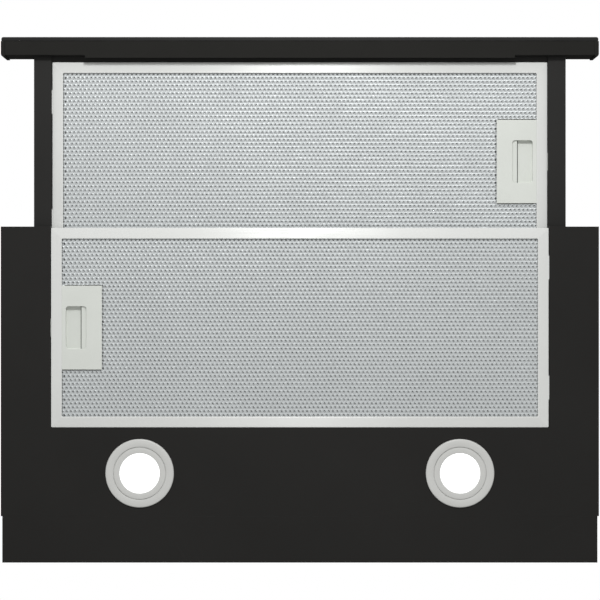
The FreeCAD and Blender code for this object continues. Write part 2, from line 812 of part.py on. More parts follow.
def make_visor_front():
    """The hollow front profile, its end caps and the trim on its face."""
    profile = new_body("front_profile")
    outside = rectangle("profile_front", "profile_back", "0", "tray_height")
    inside = rectangle(
        "profile_front + profile_wall", "profile_back - profile_wall",
        "profile_wall", "tray_height - profile_wall",
    )
    add(profile, "YZ", "-cap_start", "cap_start", [outside, inside])
    # A lip along the middle of the profile's lower rear edge, to pull the visor by
    lip_end = "half_width - profile_lip_inset"
    lip = rectangle(f"-({lip_end})", lip_end, "profile_back - profile_wall", "profile_back + profile_lip")
    add(profile, "XY", "0", "profile_wall", [lip])
    switches = [("speed_x", "speed_travel"), ("light_x", "light_travel")]
    slots = [control_window(x, travel, "stem_width", "stem_height") for x, travel in switches]
    cut(profile, "XZ", "profile_front - overrun", "profile_front + profile_wall", slots)
    trim = new_body("front_trim")
    strip = rectangle("-trim_half", "trim_half", "trim_front", "profile_front")
    add(trim, "XY", "0", "tray_height", [strip])
    middle = size("profile_front") - size("trim_depth") / 2
    round_edges(trim, "trim_corner", lambda edge: upright(edge) and edge.CenterOfMass.y < middle)
    windows = [control_window(x, travel, "knob_width", "knob_height") for x, travel in switches]
    cut(trim, "XZ", "trim_front - overrun", "profile_front", windows)
    caps = []
    for sign in (-1, 1):
        start = size("cap_start")
        end = size("half_width")
        corner = size("profile_corner")
        outline = [
            (start, size("profile_front")), (end, size("profile_front")),
            (end, size("profile_back") - corner), (end - corner, size("profile_back")),
            (start, size("profile_back")),
        ]
        points = [FreeCAD.Vector(sign * across, along, 0) for across, along in outline]
        face = Part.Face(Part.makePolygon(points + points[:1]))
        caps.append(face.extrude(FreeCAD.Vector(0, 0, size("tray_height"))))
    new_feature("front_profile_caps", Part.makeCompound(caps))


def make_controls():
    """Two slide switches: knobs in the trim's windows, their stems and the block behind."""
    for name, x in (("speed_slider", "speed_x"), ("light_slider", "light_x")):
        body = new_body(name, x, "0", "control_z")
        stem = rectangle("-stem_width / 2", "stem_width / 2", "-stem_height / 2", "stem_height / 2")
        knob_back = "profile_front - slot_play"
        add(body, "XZ", knob_back, "control_face", [stem])
        knob = rectangle("-knob_width / 2", "knob_width / 2", "-knob_height / 2", "knob_height / 2")
        add(body, "XZ", "trim_front", knob_back, [knob])
    block = new_body("control_block")
    outline = rectangle(
        "speed_x - control_margin", "light_x + light_travel + control_margin",
        "control_face + slot_play", "control_face + slot_play + control_depth",
    )
    add(block, "XY", "profile_wall", "profile_wall + control_height", [outline])


# Telescopic slides, one on each side: a hanger, and three channels that run in each other
def make_slide(side):
    hanger = new_body(f"rail_{side}_hanger")
    web = "rail_outer_back"
    flange_end = "channel_edge + tray_flange"
    section = [
        (web, "rail_rise"), (f"{web} + tray_sheet", "rail_rise"),
        (f"{web} + tray_sheet", "deck_under - tray_sheet"), (flange_end, "deck_under - tray_sheet"),
        (flange_end, "deck_under"), (web, "deck_under"),
    ]
    add(hanger, "XZ", "rail_setback", "tray_depth - tray_flange - rail_play", [sided(section, side)])
    outer = new_body(f"rail_{side}_outer")
    section = channel(
        "rail_outer_back", "rail_outer_lip", "rail_rise", "rail_outer_high", "rail_wall", True
    )
    add(outer, "XZ", "rail_setback", "rail_outer_end", [sided(section, side)])
    middle = new_body(f"rail_{side}_middle")
    section = channel(
        "rail_middle_back", "rail_middle_lip", "rail_middle_low", "rail_middle_high", "rail_wall", True
    )
    low = "rail_middle_middle - rail_middle_length / 2"
    high = "rail_middle_middle + rail_middle_length / 2"
    add(middle, "XZ", low, high, [sided(section, side)])
    inner = new_body(f"rail_{side}_inner")
    section = channel(
        "web_outside", "web_outside + rail_inner_depth", "rail_inner_low", "rail_inner_high",
        "rail_wall", False,
    )
    add(inner, "XZ", "rail_inner_end - rail_length", "rail_inner_end", [sided(section, side)])


# Lamps
def make_lamp(side):
    """A flat ring below the pan, a can above it and the diffuser in its mouth."""
    x = "lamp_x" if side == "right" else "-lamp_x"
    housing = new_body(f"lamp_{side}_housing", x, "lamp_y", "0")
    outline = [
        ("0", "lamp_can_height"), ("lamp_can", "lamp_can_height"), ("lamp_can", "0"), ("lamp_ring", "0"),
        ("lamp_ring", "-lamp_drop"), ("lamp_can", "-lamp_drop"),
        ("lamp_can", "-lamp_drop + lamp_groove"), ("lamp_disc", "-lamp_drop + lamp_groove"),
        ("lamp_disc", "-lamp_drop + lamp_groove + lamp_disc_sheet"),
        ("0", "-lamp_drop + lamp_groove + lamp_disc_sheet"),
    ]
    turn_outline(housing, "Z", outline)
    lens = new_body(f"lamp_{side}_lens", x, "lamp_y", "0")
    add(lens, "XY", "-lamp_drop + lamp_groove", "-lamp_drop + lamp_groove + lamp_disc_sheet",
        circles=[(("0", "0"), "lamp_disc - lamp_play / 3")])


# Blower
def scroll_path():
    """The inside of the scroll's wall from its neck round to its outlet, in the plane of Y and Z."""
    shift = size("scroll_shift")
    first = size("scroll_first")
    growth = size("scroll_growth")
    top = size("housing_under_top") - size("blower_z")
    neck = FreeCAD.Vector(0, -shift, first - shift)
    start = FreeCAD.Vector(0, size("scroll_left_face"), top)
    edges = [Part.makeLine(start, neck)]
    for index, (y, z) in enumerate([(-shift, -shift), (shift, -shift), (shift, shift)]):
        radius = first + growth * index
        points = []
        for part in range(3):
            angle = math.pi * (1 / 2 + index / 2 + part / 4)
            points.append(FreeCAD.Vector(0, y + radius * math.cos(angle), z + radius * math.sin(angle)))
        edges.append(Part.Arc(*points).toShape())
    last = edges[-1].Vertexes[-1].Point
    edges.append(Part.makeLine(last, FreeCAD.Vector(0, last.y, top)))
    return edges


def make_scroll():
    """The spiral strip and its two cheeks with the air inlets."""
    path = scroll_path()
    thick = size("scroll_sheet")
    half = size("scroll_half")
    strip = Part.Wire(path).makeOffset2D(thick, join=2, fill=True, openResult=True)
    wrap = strip.extrude(FreeCAD.Vector(2 * (half + thick), 0, 0))
    new_feature("scroll_wrap", wrap, "-scroll_half - scroll_sheet", "blower_y", "blower_z")
    closing = Part.makeLine(path[-1].Vertexes[-1].Point, path[0].Vertexes[0].Point)
    inlet = Part.makeCircle(size("scroll_inlet"), FreeCAD.Vector(), FreeCAD.Vector(1, 0, 0))
    outside = Part.Wire(path + [closing])
    cheek = Part.makeFace([outside, Part.Wire([inlet])], "Part::FaceMakerBullseye")
    for side, start in (("left", "-scroll_half - scroll_sheet"), ("right", "scroll_half")):
        shape = cheek.extrude(FreeCAD.Vector(thick, 0, 0))
        new_feature(f"scroll_{side}_side", shape, start, "blower_y", "blower_z")


def blade_face():
    """One forward-curved blade's section, folded once, between the impeller's inner and outer radius."""
    lean = size("blade_lean")
    thick = size("impeller_sheet")
    tip = size("impeller_radius") - thick
    root = size("impeller_radius") - size("impeller_blade_depth")
    fold = (root + tip) / 2
    near = [(0, root), (0, fold), (lean, tip)]
    far = [(lean + thick, tip), (thick, fold), (thick, root)]
    points = [FreeCAD.Vector(0, across, along) for across, along in near + far]
    return Part.Face(Part.makePolygon(points + points[:1]))


def make_impeller():
    """A double-inlet drum impeller: a web with its hub, two end rings and the blades between them."""
    half = size("impeller_length") / 2
    sheet = size("impeller_sheet")
    radius = size("impeller_radius")
    along = FreeCAD.Vector(1, 0, 0)
    web = Part.makeCylinder(radius, 2 * sheet, FreeCAD.Vector(-sheet, 0, 0), along)
    hub_length = size("hub_length")
    hub = Part.makeCylinder(size("hub_radius"), hub_length, FreeCAD.Vector(-hub_length, 0, 0), along)
    pieces = [hub]
    for start in (-half, half - sheet):
        ring = Part.makeCylinder(radius, sheet, FreeCAD.Vector(start, 0, 0), along)
        inside = radius - size("impeller_blade_depth")
        pieces.append(ring.cut(Part.makeCylinder(inside, sheet, FreeCAD.Vector(start, 0, 0), along)))
    blade = blade_face().extrude(FreeCAD.Vector(2 * (half - sheet), 0, 0))
    blade.translate(FreeCAD.Vector(sheet - half, 0, 0))
    count = int(size("impeller_blades"))
    for index in range(count):
        turned = blade.copy()
        turned.rotate(FreeCAD.Vector(), along, 360 * index / count)
        pieces.append(turned)
    drum = web.fuse(pieces)
    bore_radius = size("shaft_radius") + size("shaft_play")
    bore = Part.makeCylinder(bore_radius, 2 * half, FreeCAD.Vector(-half, 0, 0), along)
    new_feature("impeller", drum.cut(bore), "0", "blower_y", "blower_z")


def make_motor():
    """The motor in the right half of the impeller, its shaft and the three-armed bracket."""
    shaft = new_body("motor_shaft", "0", "blower_y", "blower_z")
    add(shaft, "YZ", "-hub_length - shaft_tail", "motor_front + shaft_seat / 2",
        circles=[(("0", "0"), "shaft_radius")])
    motor = new_body("motor_body", "0", "blower_y", "blower_z")
    outline = [
        ("motor_front", "shaft_radius + shaft_play"), ("motor_front", "motor_radius"),
        ("motor_back", "motor_radius"), ("motor_back", "0"), ("motor_front + shaft_seat", "0"),
        ("motor_front + shaft_seat", "shaft_radius + shaft_play"),
    ]
    turn_outline(motor, "X", outline)
    bracket = new_body("motor_bracket", "0", "blower_y", "blower_z")
    low = "scroll_half + scroll_sheet"
    bore = "motor_radius + motor_play"
    centre = ("0", "0")
    ring = [(centre, f"{bore} + bracket_ring"), (centre, bore)]
    add(bracket, "YZ", low, f"{low} + bracket_sheet", circles=ring)
    reach = "scroll_inlet + bracket_arm"
    arm = rectangle("-bracket_arm / 2", "bracket_arm / 2", f"{bore} + bracket_ring / 2", reach)
    first = add(bracket, "YZ", low, f"{low} + bracket_sheet", [arm])
    pattern = bracket.newObject("PartDesign::PolarPattern", "Arms")
    pattern.Originals = [first]
    axes = {feature.Role: feature for feature in bracket.Origin.OriginFeatures}
    pattern.Axis = (axes["X_Axis"], [""])
    pattern.Angle = 360
    pattern.setExpression("Occurrences", bound("bracket_arms"))
    bracket.Tip = pattern
    capacitor = new_body("capacitor", "deck_strip_x", "collar_y", "tray_height")
    top = "capacitor_height"
    outline = [
        ("0", "0"), ("capacitor_radius", "0"), ("capacitor_radius", top),
        ("capacitor_terminal_radius", top), ("capacitor_terminal_radius", f"{top} + capacitor_terminal"),
        ("0", f"{top} + capacitor_terminal"),
    ]
    turn_outline(capacitor, "Z", outline)


# Duct outlet
def make_collar():
    """The duct collar: flange, tube, the flaps' seat, a bar across and the square sockets of their pins."""
    body = new_body("exhaust_collar", "0", "collar_y", "housing_top_face")
    top = "collar_flange_sheet + collar_height"
    inside = "collar_radius - collar_wall"
    outline = [
        (f"{inside} - collar_ledge", "0"), ("collar_radius + collar_flange", "0"),
        ("collar_radius + collar_flange", "collar_flange_sheet"), ("collar_radius", "collar_flange_sheet"),
        ("collar_radius", top), (inside, top), (inside, "collar_ledge_height"),
        (f"{inside} - collar_ledge", "collar_ledge_height"),
    ]
    turn_outline(body, "Z", outline)
    reach = f"{inside} - collar_ledge / 2"
    bar = rectangle(f"-({reach})", reach, "-collar_bar / 2", "collar_bar / 2")
    add(body, "XY", "0", "collar_bar_height", [bar])
    half = "flap_pin + flap_pin_play"
    pins = [
        rectangle(f"{y} - ({half})", f"{y} + {half}", f"flap_axis_z - ({half})", f"flap_axis_z + {half}")
        for y in ("-flap_axis_offset", "flap_axis_offset")
    ]
    cut(body, "YZ", "-collar_radius - overrun", "collar_radius + overrun", pins)


def make_flap(name, sign):
    """A half-round flap with its knuckle and hinge pins. Its own zero lies on its hinge axis."""
    radius = size("flap_radius")
    sheet = size("flap_sheet")
    offset = size("flap_axis_offset")
    knuckle = size("flap_knuckle")
    disc = Part.makeCylinder(radius, sheet, FreeCAD.Vector(0, -sign * offset, -knuckle))
    low = 0 if sign > 0 else -2 * radius
    keep = Part.makeBox(4 * radius, 2 * radius, 4 * knuckle, FreeCAD.Vector(-2 * radius, low, -2 * knuckle))
    plate = disc.common(keep)
    half = math.sqrt(radius ** 2 - (offset + knuckle) ** 2)
    along = FreeCAD.Vector(1, 0, 0)
    barrel = Part.makeCylinder(knuckle, 2 * half, FreeCAD.Vector(-half, 0, 0), along)
    reach = size("collar_radius") - size("flap_pin_play")
    pin = Part.makeCylinder(size("flap_pin"), 2 * reach, FreeCAD.Vector(-reach, 0, 0), along)
    y = "collar_y + flap_axis_offset" if sign > 0 else "collar_y - flap_axis_offset"
    new_feature(name, plate.fuse([barrel, pin]), "0", y, "housing_top_face + flap_axis_z")


# Electrics
def make_electrics():
    terminal = new_body("terminal_box", "terminal_x", "terminal_y", "housing_under_top")
    half_long = "terminal_length / 2"
    half_deep = "terminal_depth / 2"
    block = rectangle(f"-{half_long}", half_long, f"-{half_deep}", half_deep)
    add(terminal, "XY", "-terminal_height", "0", [block])
    cut(terminal, "XY", "-gland_depth", "overrun", circles=[(("0", "0"), "gland_radius + gland_play")])
    gland = new_body("cable_gland", "terminal_x", "terminal_y", "housing_top_face")
    add(gland, "XY", "-gland_depth", "0", circles=[(("0", "0"), "gland_radius")])
    add(gland, "XY", "0", "gland_nut_height", [hexagon("gland_nut")])
    add(gland, "XY", "gland_nut_height", "gland_height", [hexagon("gland_dome")])
    cut(gland, "XY", "-gland_depth - overrun", "gland_height + overrun", circles=[(("0", "0"), "gland_bore")])
    driver = new_body("lamp_driver", "-deck_strip_x", "collar_y", "tray_height")
    block = rectangle("-driver_width / 2", "driver_width / 2", "-driver_length / 2", "driver_length / 2")
    add(driver, "XY", "0", "driver_height", [block])
    round_edges(driver, "driver_corner", upright)
    switch = new_body("visor_switch")
    half = "switch_length / 2"
    block = rectangle(f"-{half}", half, "switch_front", "switch_front + switch_depth")
    add(switch, "XY", "deck_under - switch_height", "deck_under", [block])


for side in ("left", "right"):
    make_tray_side(side)
    make_slide(side)
    make_visor_channel(side)
    make_lamp(side)
make_bottom_panel()
make_tray_rear_wall()
make_tray_deck()
make_rear_spacer()
make_housing()
make_filter("rear", "left", "rear_filter_middle", "0")
make_filter("front", "right", "front_filter_middle", "front_filter_under")
make_visor_bars()
make_visor_front()
make_controls()
make_scroll()
make_impeller()
make_motor()
make_collar()
make_flap("flap_front", -1)
make_flap("flap_rear", 1)
make_electrics()

doc.recompute()
for item in doc.Objects:
    if "Invalid" in item.State or "Error" in item.State:
        raise RuntimeError(f"{item.Label}: {item.State}")
for name, item in subparts.items():
    if item.Shape.isNull() or not item.Shape.isValid():
        raise RuntimeError(f"{name} has no valid shape")

os.makedirs("parts", exist_ok=True)
for name, item in subparts.items():
    item.Shape.exportStep(f"parts/{name}.step")
print(len(subparts), "sub-parts")
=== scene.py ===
"""The pull-out range hood: its pieces, finishes, light and camera, laid out as an add-on."""
import json
import math

import bmesh
import bpy
from bpy.props import FloatProperty, FloatVectorProperty, IntProperty, PointerProperty
from bpy.types import Operator, Panel, PropertyGroup
from mathutils import Matrix, Vector

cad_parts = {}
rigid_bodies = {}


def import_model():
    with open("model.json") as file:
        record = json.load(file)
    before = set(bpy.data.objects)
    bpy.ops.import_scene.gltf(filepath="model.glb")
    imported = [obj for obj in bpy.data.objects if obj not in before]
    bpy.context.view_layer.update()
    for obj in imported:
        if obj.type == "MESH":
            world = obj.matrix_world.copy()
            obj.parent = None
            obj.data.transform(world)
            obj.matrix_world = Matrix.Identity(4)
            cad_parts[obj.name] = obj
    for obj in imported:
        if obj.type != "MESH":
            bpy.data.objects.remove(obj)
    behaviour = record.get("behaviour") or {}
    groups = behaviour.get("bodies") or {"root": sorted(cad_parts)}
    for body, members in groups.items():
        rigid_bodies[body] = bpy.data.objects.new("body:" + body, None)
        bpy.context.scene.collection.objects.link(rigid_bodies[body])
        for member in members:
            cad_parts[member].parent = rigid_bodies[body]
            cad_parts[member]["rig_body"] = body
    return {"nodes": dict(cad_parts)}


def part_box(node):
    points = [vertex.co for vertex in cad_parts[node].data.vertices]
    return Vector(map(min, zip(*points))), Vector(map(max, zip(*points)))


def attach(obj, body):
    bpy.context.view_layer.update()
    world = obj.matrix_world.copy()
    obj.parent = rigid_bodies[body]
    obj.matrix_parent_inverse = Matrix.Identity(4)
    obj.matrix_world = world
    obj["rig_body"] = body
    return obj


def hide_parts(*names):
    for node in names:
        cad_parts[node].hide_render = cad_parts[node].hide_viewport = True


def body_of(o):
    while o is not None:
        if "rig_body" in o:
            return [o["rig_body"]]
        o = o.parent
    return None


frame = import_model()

bl_info = {
    "name": "Pull-Out Range Hood",
    "version": (1, 0, 0),
    "blender": (4, 5, 0),
    "location": "View3D > Sidebar > Hood",
    "description": "Dresses the packed range hood with its nets, frames, catches, lamps, blower and finishes",
    "category": "Add Mesh",
}

NODES = frame["nodes"]
MM = 0.001
TRAY_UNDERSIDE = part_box("bottom_panel")[0][2]
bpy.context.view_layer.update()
WHITE = (1.0, 1.0, 1.0, 1.0)
QUARTER = math.pi / 2

SAME_PLACE = 2e-6  # corners of a solid nearer than this are one
STILL_FLAT = math.radians(0.6)  # faces that meet at less than this are one
RIM_ANGLE = math.radians(28.0)  # edges sharper than this are rounded
FLAT_REACH = 0.88  # cosine up to which faces share their shading
RIM_REACH = 0.5  # the same, between a rounded edge and the faces beside it
JOIN = 0.00001  # points of the net nearer than this are one

FRAME_BORDER, FRAME_WALL, FRAME_TAB = 0.0108, 0.001, 0.004
NET_SIDES, NET_ENDS = 0.0135, 0.0170  # what a filter's net leaves free of its solid
LAMP_FINS, CASING_SHEETS, GLAND_THREADS, COLLAR_RIBS = 5, 20, 9, 16

FLOOR_SIZE, FLOOR_LEVEL, FLOOR_GLOW = 60.0, -3.2, 0.36
SOFT_SKY, SEEN_SKY = 0.53, 1.0
CAMERA_PLACE, CAMERA_LENS, CAMERA_SENSOR = (0.00015, -0.07255, -2.38), 132.05, 36.0


# Sizes and colours


def length(name, about, value, low=0.0):
    """A size in metres that a user may change."""
    return FloatProperty(
        name=name, description=about, default=value, min=low,
        precision=5, unit="LENGTH", subtype="DISTANCE",
    )


def colour(name, about, value):
    """A linear colour that a user may change."""
    return FloatVectorProperty(
        name=name, description=about, default=value, size=3, min=0.0, max=1.0, subtype="COLOR",
    )


class HoodSizes(PropertyGroup):
    """Sizes of the details that the scene adds to the hood."""

    sheet_edge: length("Sheet Edge", "Radius of the edges of the coated sheets", 0.00022)
    moulded_edge: length("Moulded Edge", "Radius of the edges of the moulded pieces", 0.0004)
    net_pitch: length("Net Pitch", "Distance between two bonds of the net along a row", 0.0043)
    net_row: length("Net Row", "Distance between two rows of bonds", 0.0039)
    net_hole: length("Net Hole", "Half the width of one slanted hole of the net", 0.00093)
    net_slit: length("Net Slit", "Half the height of one slanted hole of the net", 0.00122)
    net_gauge: length("Net Gauge", "Thickness of the net's foil", 0.0002)
    net_rise: length("Net Rise", "How far a crest stands out of the net's plane", 0.0003)
    net_wander: length("Net Wander", "How far the net strays from its even pattern", 0.0003)
    fold_step: length("Fold Step", "Height of the pressed lip along each filter bar", 0.00012)
    screw_head: length("Screw Head", "Diameter of the housing screws' heads", 0.0068)
    bead_rise: length("Bead Rise", "How far the pressed beads of the housing stand proud", 0.0009)
    blades: IntProperty(
        name="Blades", description="Number of blades on the impeller", default=40, min=12, max=60,
    )


class HoodColours(PropertyGroup):
    """Base colours of the hood's finishes."""

    paint: colour("Powder Coat", "Black coat of the body", (0.0160, 0.0155, 0.0146))
    visor: colour("Visor Coat", "Black coat of the visor's channels and bars", (0.0150, 0.0147, 0.0138))
    front: colour("Front Coat", "Black coat of the visor's front", (0.0220, 0.0217, 0.0203))
    trim: colour("Trim Coat", "Black coat of the strip along the visor's front", (0.0095, 0.0094, 0.0090))
    aluminium: colour("Filter Frame", "Bare folded aluminium", (0.742, 0.752, 0.736))
    net: colour("Filter Net", "Expanded aluminium net", (0.500, 0.524, 0.530))
    # Painted light: the nets inside the filter are the same aluminium as the outer net, but they get a
    # lighter colour so that what shows through the outer net's holes reads brighter than the shade there
    # leaves it.
    depth: colour("Filter Depth", "Nets inside the filter, dulled by the layers over them",
                  (0.66, 0.68, 0.685))
    catch: colour("Catch", "Pale grey moulded catch", (0.68, 0.702, 0.662))
    zinc: colour("Galvanised", "Zinc coat of the hidden sheets", (0.50, 0.515, 0.53))
    plastic: colour("Black Plastic", "Moulded black pieces", (0.0155, 0.0155, 0.0152))
    lamp: colour("Lamp Ring", "Satin ring of the lamps", (0.615, 0.618, 0.60))
    white: colour("White Plastic", "Driver and capacitor", (0.70, 0.70, 0.67))
    steel: colour("Motor Steel", "Laminated motor body", (0.33, 0.34, 0.35))


def sizes():
    """The sizes that the panel shows."""
    return bpy.context.scene.hood_sizes


def colours():
    """The colours that the panel shows."""
    return bpy.context.scene.hood_colours


# Nodes


def put(tree, value, socket):
    """Sets a socket to a number, a tuple, or another node's output."""
    if isinstance(value, bpy.types.NodeSocket):
        tree.links.new(value, socket)
    else:
        socket.default_value = value


def add(tree, kind, inputs=(), **settings):
    """A new node with those settings, and with its inputs given by name or place."""
    node = tree.nodes.new(kind)
    for name, value in settings.items():
        setattr(node, name, value)
    for label, value in dict(inputs).items():
        put(tree, value, node.inputs[label])
    return node


def maths(tree, operation, *values):
    """The output of a Math node of those values."""
    return add(tree, "ShaderNodeMath", enumerate(values), operation=operation).outputs[0]


def vectors(tree, operation, *values):
    """The output of a Vector Math node of those values."""
    return add(tree, "ShaderNodeVectorMath", enumerate(values), operation=operation).outputs[0]


def parts(tree, vector):
    """The X, Y and Z of a vector, as outputs."""
    return add(tree, "ShaderNodeSeparateXYZ", {0: vector}).outputs


def noise(tree, vector, scale, detail, rough, warp=0.0):
    """The value of a Noise Texture."""
    return add(tree, "ShaderNodeTexNoise", {
        "Vector": vector, "Scale": scale, "Detail": detail, "Roughness": rough, "Distortion": warp,
    }).outputs["Fac"]


def remap(tree, value, low, high, to_low=0.0, to_high=1.0):
    """The value stretched from one range to another and clamped."""
    return add(tree, "ShaderNodeMapRange", {
        "Value": value, "From Min": low, "From Max": high, "To Min": to_low, "To Max": to_high,
    }).outputs["Result"]


# Shader groups


def fine_grain(tree, vector, scale, patch_scale):
    """Even grain of a coat or a mould, with a slow change of tone over the surface."""
    patch = noise(tree, vector, patch_scale, detail=4.0, rough=0.55)
    grain = noise(tree, vector, scale, detail=3.0, rough=0.6)
    return {"Height": grain, "Tone": remap(tree, patch, 0.3, 0.7)}


def brushed_lines(tree, vector, along, across):
    """Fine lines drawn along the vector's X, as rolled or brushed metal has."""
    given = parts(tree, vector)
    drawn = add(tree, "ShaderNodeCombineXYZ", {
        axis: maths(tree, "MULTIPLY", given[axis], scale)
        for axis, scale in (("X", along), ("Y", across), ("Z", across))
    })
    lines = noise(tree, drawn.outputs[0], 1.0, detail=2.0, rough=0.55)
    return {"Height": lines, "Tone": remap(tree, lines, 0.3, 0.7)}


def handling_marks(tree, vector, scale, amount):
    """Soft smears where hands and cloths have been."""
    smear = noise(tree, vector, scale, detail=5.0, rough=0.62, warp=0.8)
    return {"Mask": maths(tree, "MULTIPLY", remap(tree, smear, 0.46, 0.72), amount)}


def edge_wear(tree, vector, rim, scale, amount):
    """Edges rubbed through in patches, from the rim that the bevels leave."""
    patch = noise(tree, vector, scale, detail=4.0, rough=0.65)
    rubbed = maths(tree, "MULTIPLY", remap(tree, patch, 0.38, 0.66), rim)
    return {"Mask": maths(tree, "MULTIPLY", rubbed, amount)}


def zinc_spangle(tree, vector, scale):
    """The crystal flowers of hot-dip zinc."""
    warp = add(tree, "ShaderNodeTexNoise", {"Vector": vector, "Scale": 45.0})
    moved = vectors(tree, "MULTIPLY_ADD", warp.outputs["Color"], (0.008, 0.008, 0.008), vector)
    cells = add(tree, "ShaderNodeTexVoronoi", {"Vector": moved, "Scale": scale}).outputs
    split = add(tree, "ShaderNodeSeparateColor", {0: cells["Color"]})
    return {"Tone": split.outputs[0], "Height": cells["Distance"]}


def hairline_scratches(tree, vector, scale, amount):
    """Thin hairline scratches in two directions."""
    masks = []
    for turn in (0.5, 2.1):
        turned = add(tree, "ShaderNodeVectorRotate", {"Vector": vector, "Angle": turn}).outputs[0]
        drawn = vectors(tree, "MULTIPLY", turned, (1.0, 26.0, 26.0))
        hairs = noise(tree, drawn, scale, detail=3.0, rough=0.7, warp=0.3)
        masks.append(remap(tree, hairs, 0.66, 0.72))
    return {"Mask": maths(tree, "MULTIPLY", maths(tree, "MAXIMUM", *masks), amount)}


def shader_group(name, numbers, make):
    """A shader group on a vector and some numbers, whose outputs are what make returns."""
    tree = bpy.data.node_groups.new(name, "ShaderNodeTree")
    tree.interface.new_socket("Vector", in_out="INPUT", socket_type="NodeSocketVector")
    for label in numbers:
        tree.interface.new_socket(label, in_out="INPUT", socket_type="NodeSocketFloat")
    made = make(tree, *list(tree.nodes.new("NodeGroupInput").outputs)[:len(numbers) + 1])
    for label in made:
        tree.interface.new_socket(label, in_out="OUTPUT", socket_type="NodeSocketFloat")
    add(tree, "NodeGroupOutput", made)
    return tree


GROUPS = {}


def build_groups():
    """Builds each shader group once."""
    for key, name, make, numbers in (
        ("grain", "Fine Grain", fine_grain, ("Scale", "Patch Scale")),
        ("brushed", "Brushed Lines", brushed_lines, ("Along", "Across")),
        ("marks", "Handling Marks", handling_marks, ("Scale", "Amount")),
        ("wear", "Edge Wear", edge_wear, ("Rim", "Scale", "Amount")),
        ("spangle", "Zinc Spangle", zinc_spangle, ("Scale",)),
        ("scratches", "Hairline Scratches", hairline_scratches, ("Scale", "Amount")),
    ):
        GROUPS[key] = shader_group(name, numbers, make)


# Materials


def toned(tint, factor, extra=0.0, most=1.0):
    """A colour made lighter or darker, up to a limit."""
    return [min(part * factor + extra, most) for part in tint]


class Finish:
    """One procedural material while it is put together."""

    def __init__(self, name, rough, metallic=0.0, level=0.5, uv=""):
        self.material = bpy.data.materials.new(name)
        self.material.use_nodes = True
        self.tree = self.material.node_tree
        self.shader = self.tree.nodes["Principled BSDF"]
        self.give(Metallic=metallic, Specular_IOR_Level=level, Roughness=rough)
        self.tint = self.normal = self.where = None
        self.roughness = rough
        self.uv = uv

    def point(self):
        """The point that every pattern reads: on the piece's own UV map, or in Object coordinates."""
        if self.where is None and self.uv:
            self.where = add(self.tree, "ShaderNodeUVMap", uv_map=self.uv).outputs["UV"]
        elif self.where is None:
            self.where = add(self.tree, "ShaderNodeTexCoord").outputs["Object"]
        return self.where

    def give(self, **values):
        """Sets sockets of the shader by name, with _ for a space."""
        for label, value in values.items():
            put(self.tree, value, self.shader.inputs[label.replace("_", " ")])

    def group(self, name, **values):
        """Places a shader group; its inputs are given by name, with _ for a space."""
        values = {label.replace("_", " "): value for label, value in values.items()}
        inputs = {"Vector": self.point(), **values}
        return add(self.tree, "ShaderNodeGroup", inputs, node_tree=GROUPS[name]).outputs

    def marks(self, scale, amount):
        """The mask of the handling marks."""
        return self.group("marks", Scale=scale, Amount=amount)["Mask"]

    def scratches(self, scale, amount):
        """The mask of the scratches."""
        return self.group("scratches", Scale=scale, Amount=amount)["Mask"]

    def wear(self, scale, amount):
        """The mask of the rubbed edges, from the rim attribute that a bevelled piece carries."""
        rim = add(self.tree, "ShaderNodeAttribute", attribute_name="rim").outputs["Fac"]
        return self.group("wear", Rim=rim, Scale=scale, Amount=amount)["Mask"]

    def blend(self, mask, *ends):
        """A colour mixed between two others by the mask."""
        low, high = (end if isinstance(end, bpy.types.NodeSocket) else (*end, 1.0) for end in ends)
        return add(self.tree, "ShaderNodeMix", {0: mask, 6: low, 7: high}, data_type="RGBA").outputs[2]

    def base(self, tint, mask, spread):
        """The first colour, lighter and darker by a share along the mask."""
        self.tint = self.blend(mask, toned(tint, 1.0 - spread), toned(tint, 1.0 + spread))

    def over(self, mask, tint, share=None):
        """A second colour laid over the first where the mask is, or by a share of it."""
        if share is not None:
            mask = maths(self.tree, "MULTIPLY", mask, share)
        self.tint = self.blend(mask, self.tint, tint)

    def rough(self, mask, low, high):
        """The roughness, from low to high along the mask."""
        self.roughness = remap(self.tree, mask, 0.0, 1.0, low, high)

    def rough_more(self, mask, amount):
        """More roughness where the mask is."""
        extra = maths(self.tree, "MULTIPLY", mask, amount)
        self.roughness = maths(self.tree, "ADD", self.roughness, extra)

    def bump(self, height, depth, strength=1.0):
        """A bump of that depth in metres, on top of the earlier ones."""
        inputs = {"Height": height, "Distance": depth, "Strength": strength}
        if self.normal is not None:
            inputs["Normal"] = self.normal
        self.normal = add(self.tree, "ShaderNodeBump", inputs).outputs[0]

    def done(self):
        """Links what was gathered to the shader and gives the material."""
        self.give(Base_Color=self.tint, Roughness=self.roughness, Normal=self.normal)
        return self.material


MATERIALS = {}


def coat(name, tint, rough, level, worn):
    """Powder coat: orange peel, cloudy gloss, smears and rubbed edges."""
    finish = Finish(name, rough, level=level)
    grain = finish.group("grain", Scale=650.0, Patch_Scale=7.0)
    fine = finish.group("grain", Scale=2400.0, Patch_Scale=40.0)
    marks = finish.marks(scale=9.0, amount=0.55)
    finish.base(tint, grain["Tone"], spread=0.07)
    finish.over(marks, toned(tint, 1.35), share=0.30)
    finish.over(finish.scratches(scale=16.0, amount=0.35), toned(tint, 2.2), share=0.30)
    finish.over(finish.wear(scale=55.0, amount=worn), (0.05, 0.05, 0.049))
    finish.rough(fine["Tone"], rough - 0.04, rough + 0.05)
    finish.rough_more(marks, 0.10)
    finish.bump(grain["Height"], depth=0.00006, strength=0.55)
    finish.bump(fine["Height"], depth=0.00002, strength=0.35)
    return finish.done()


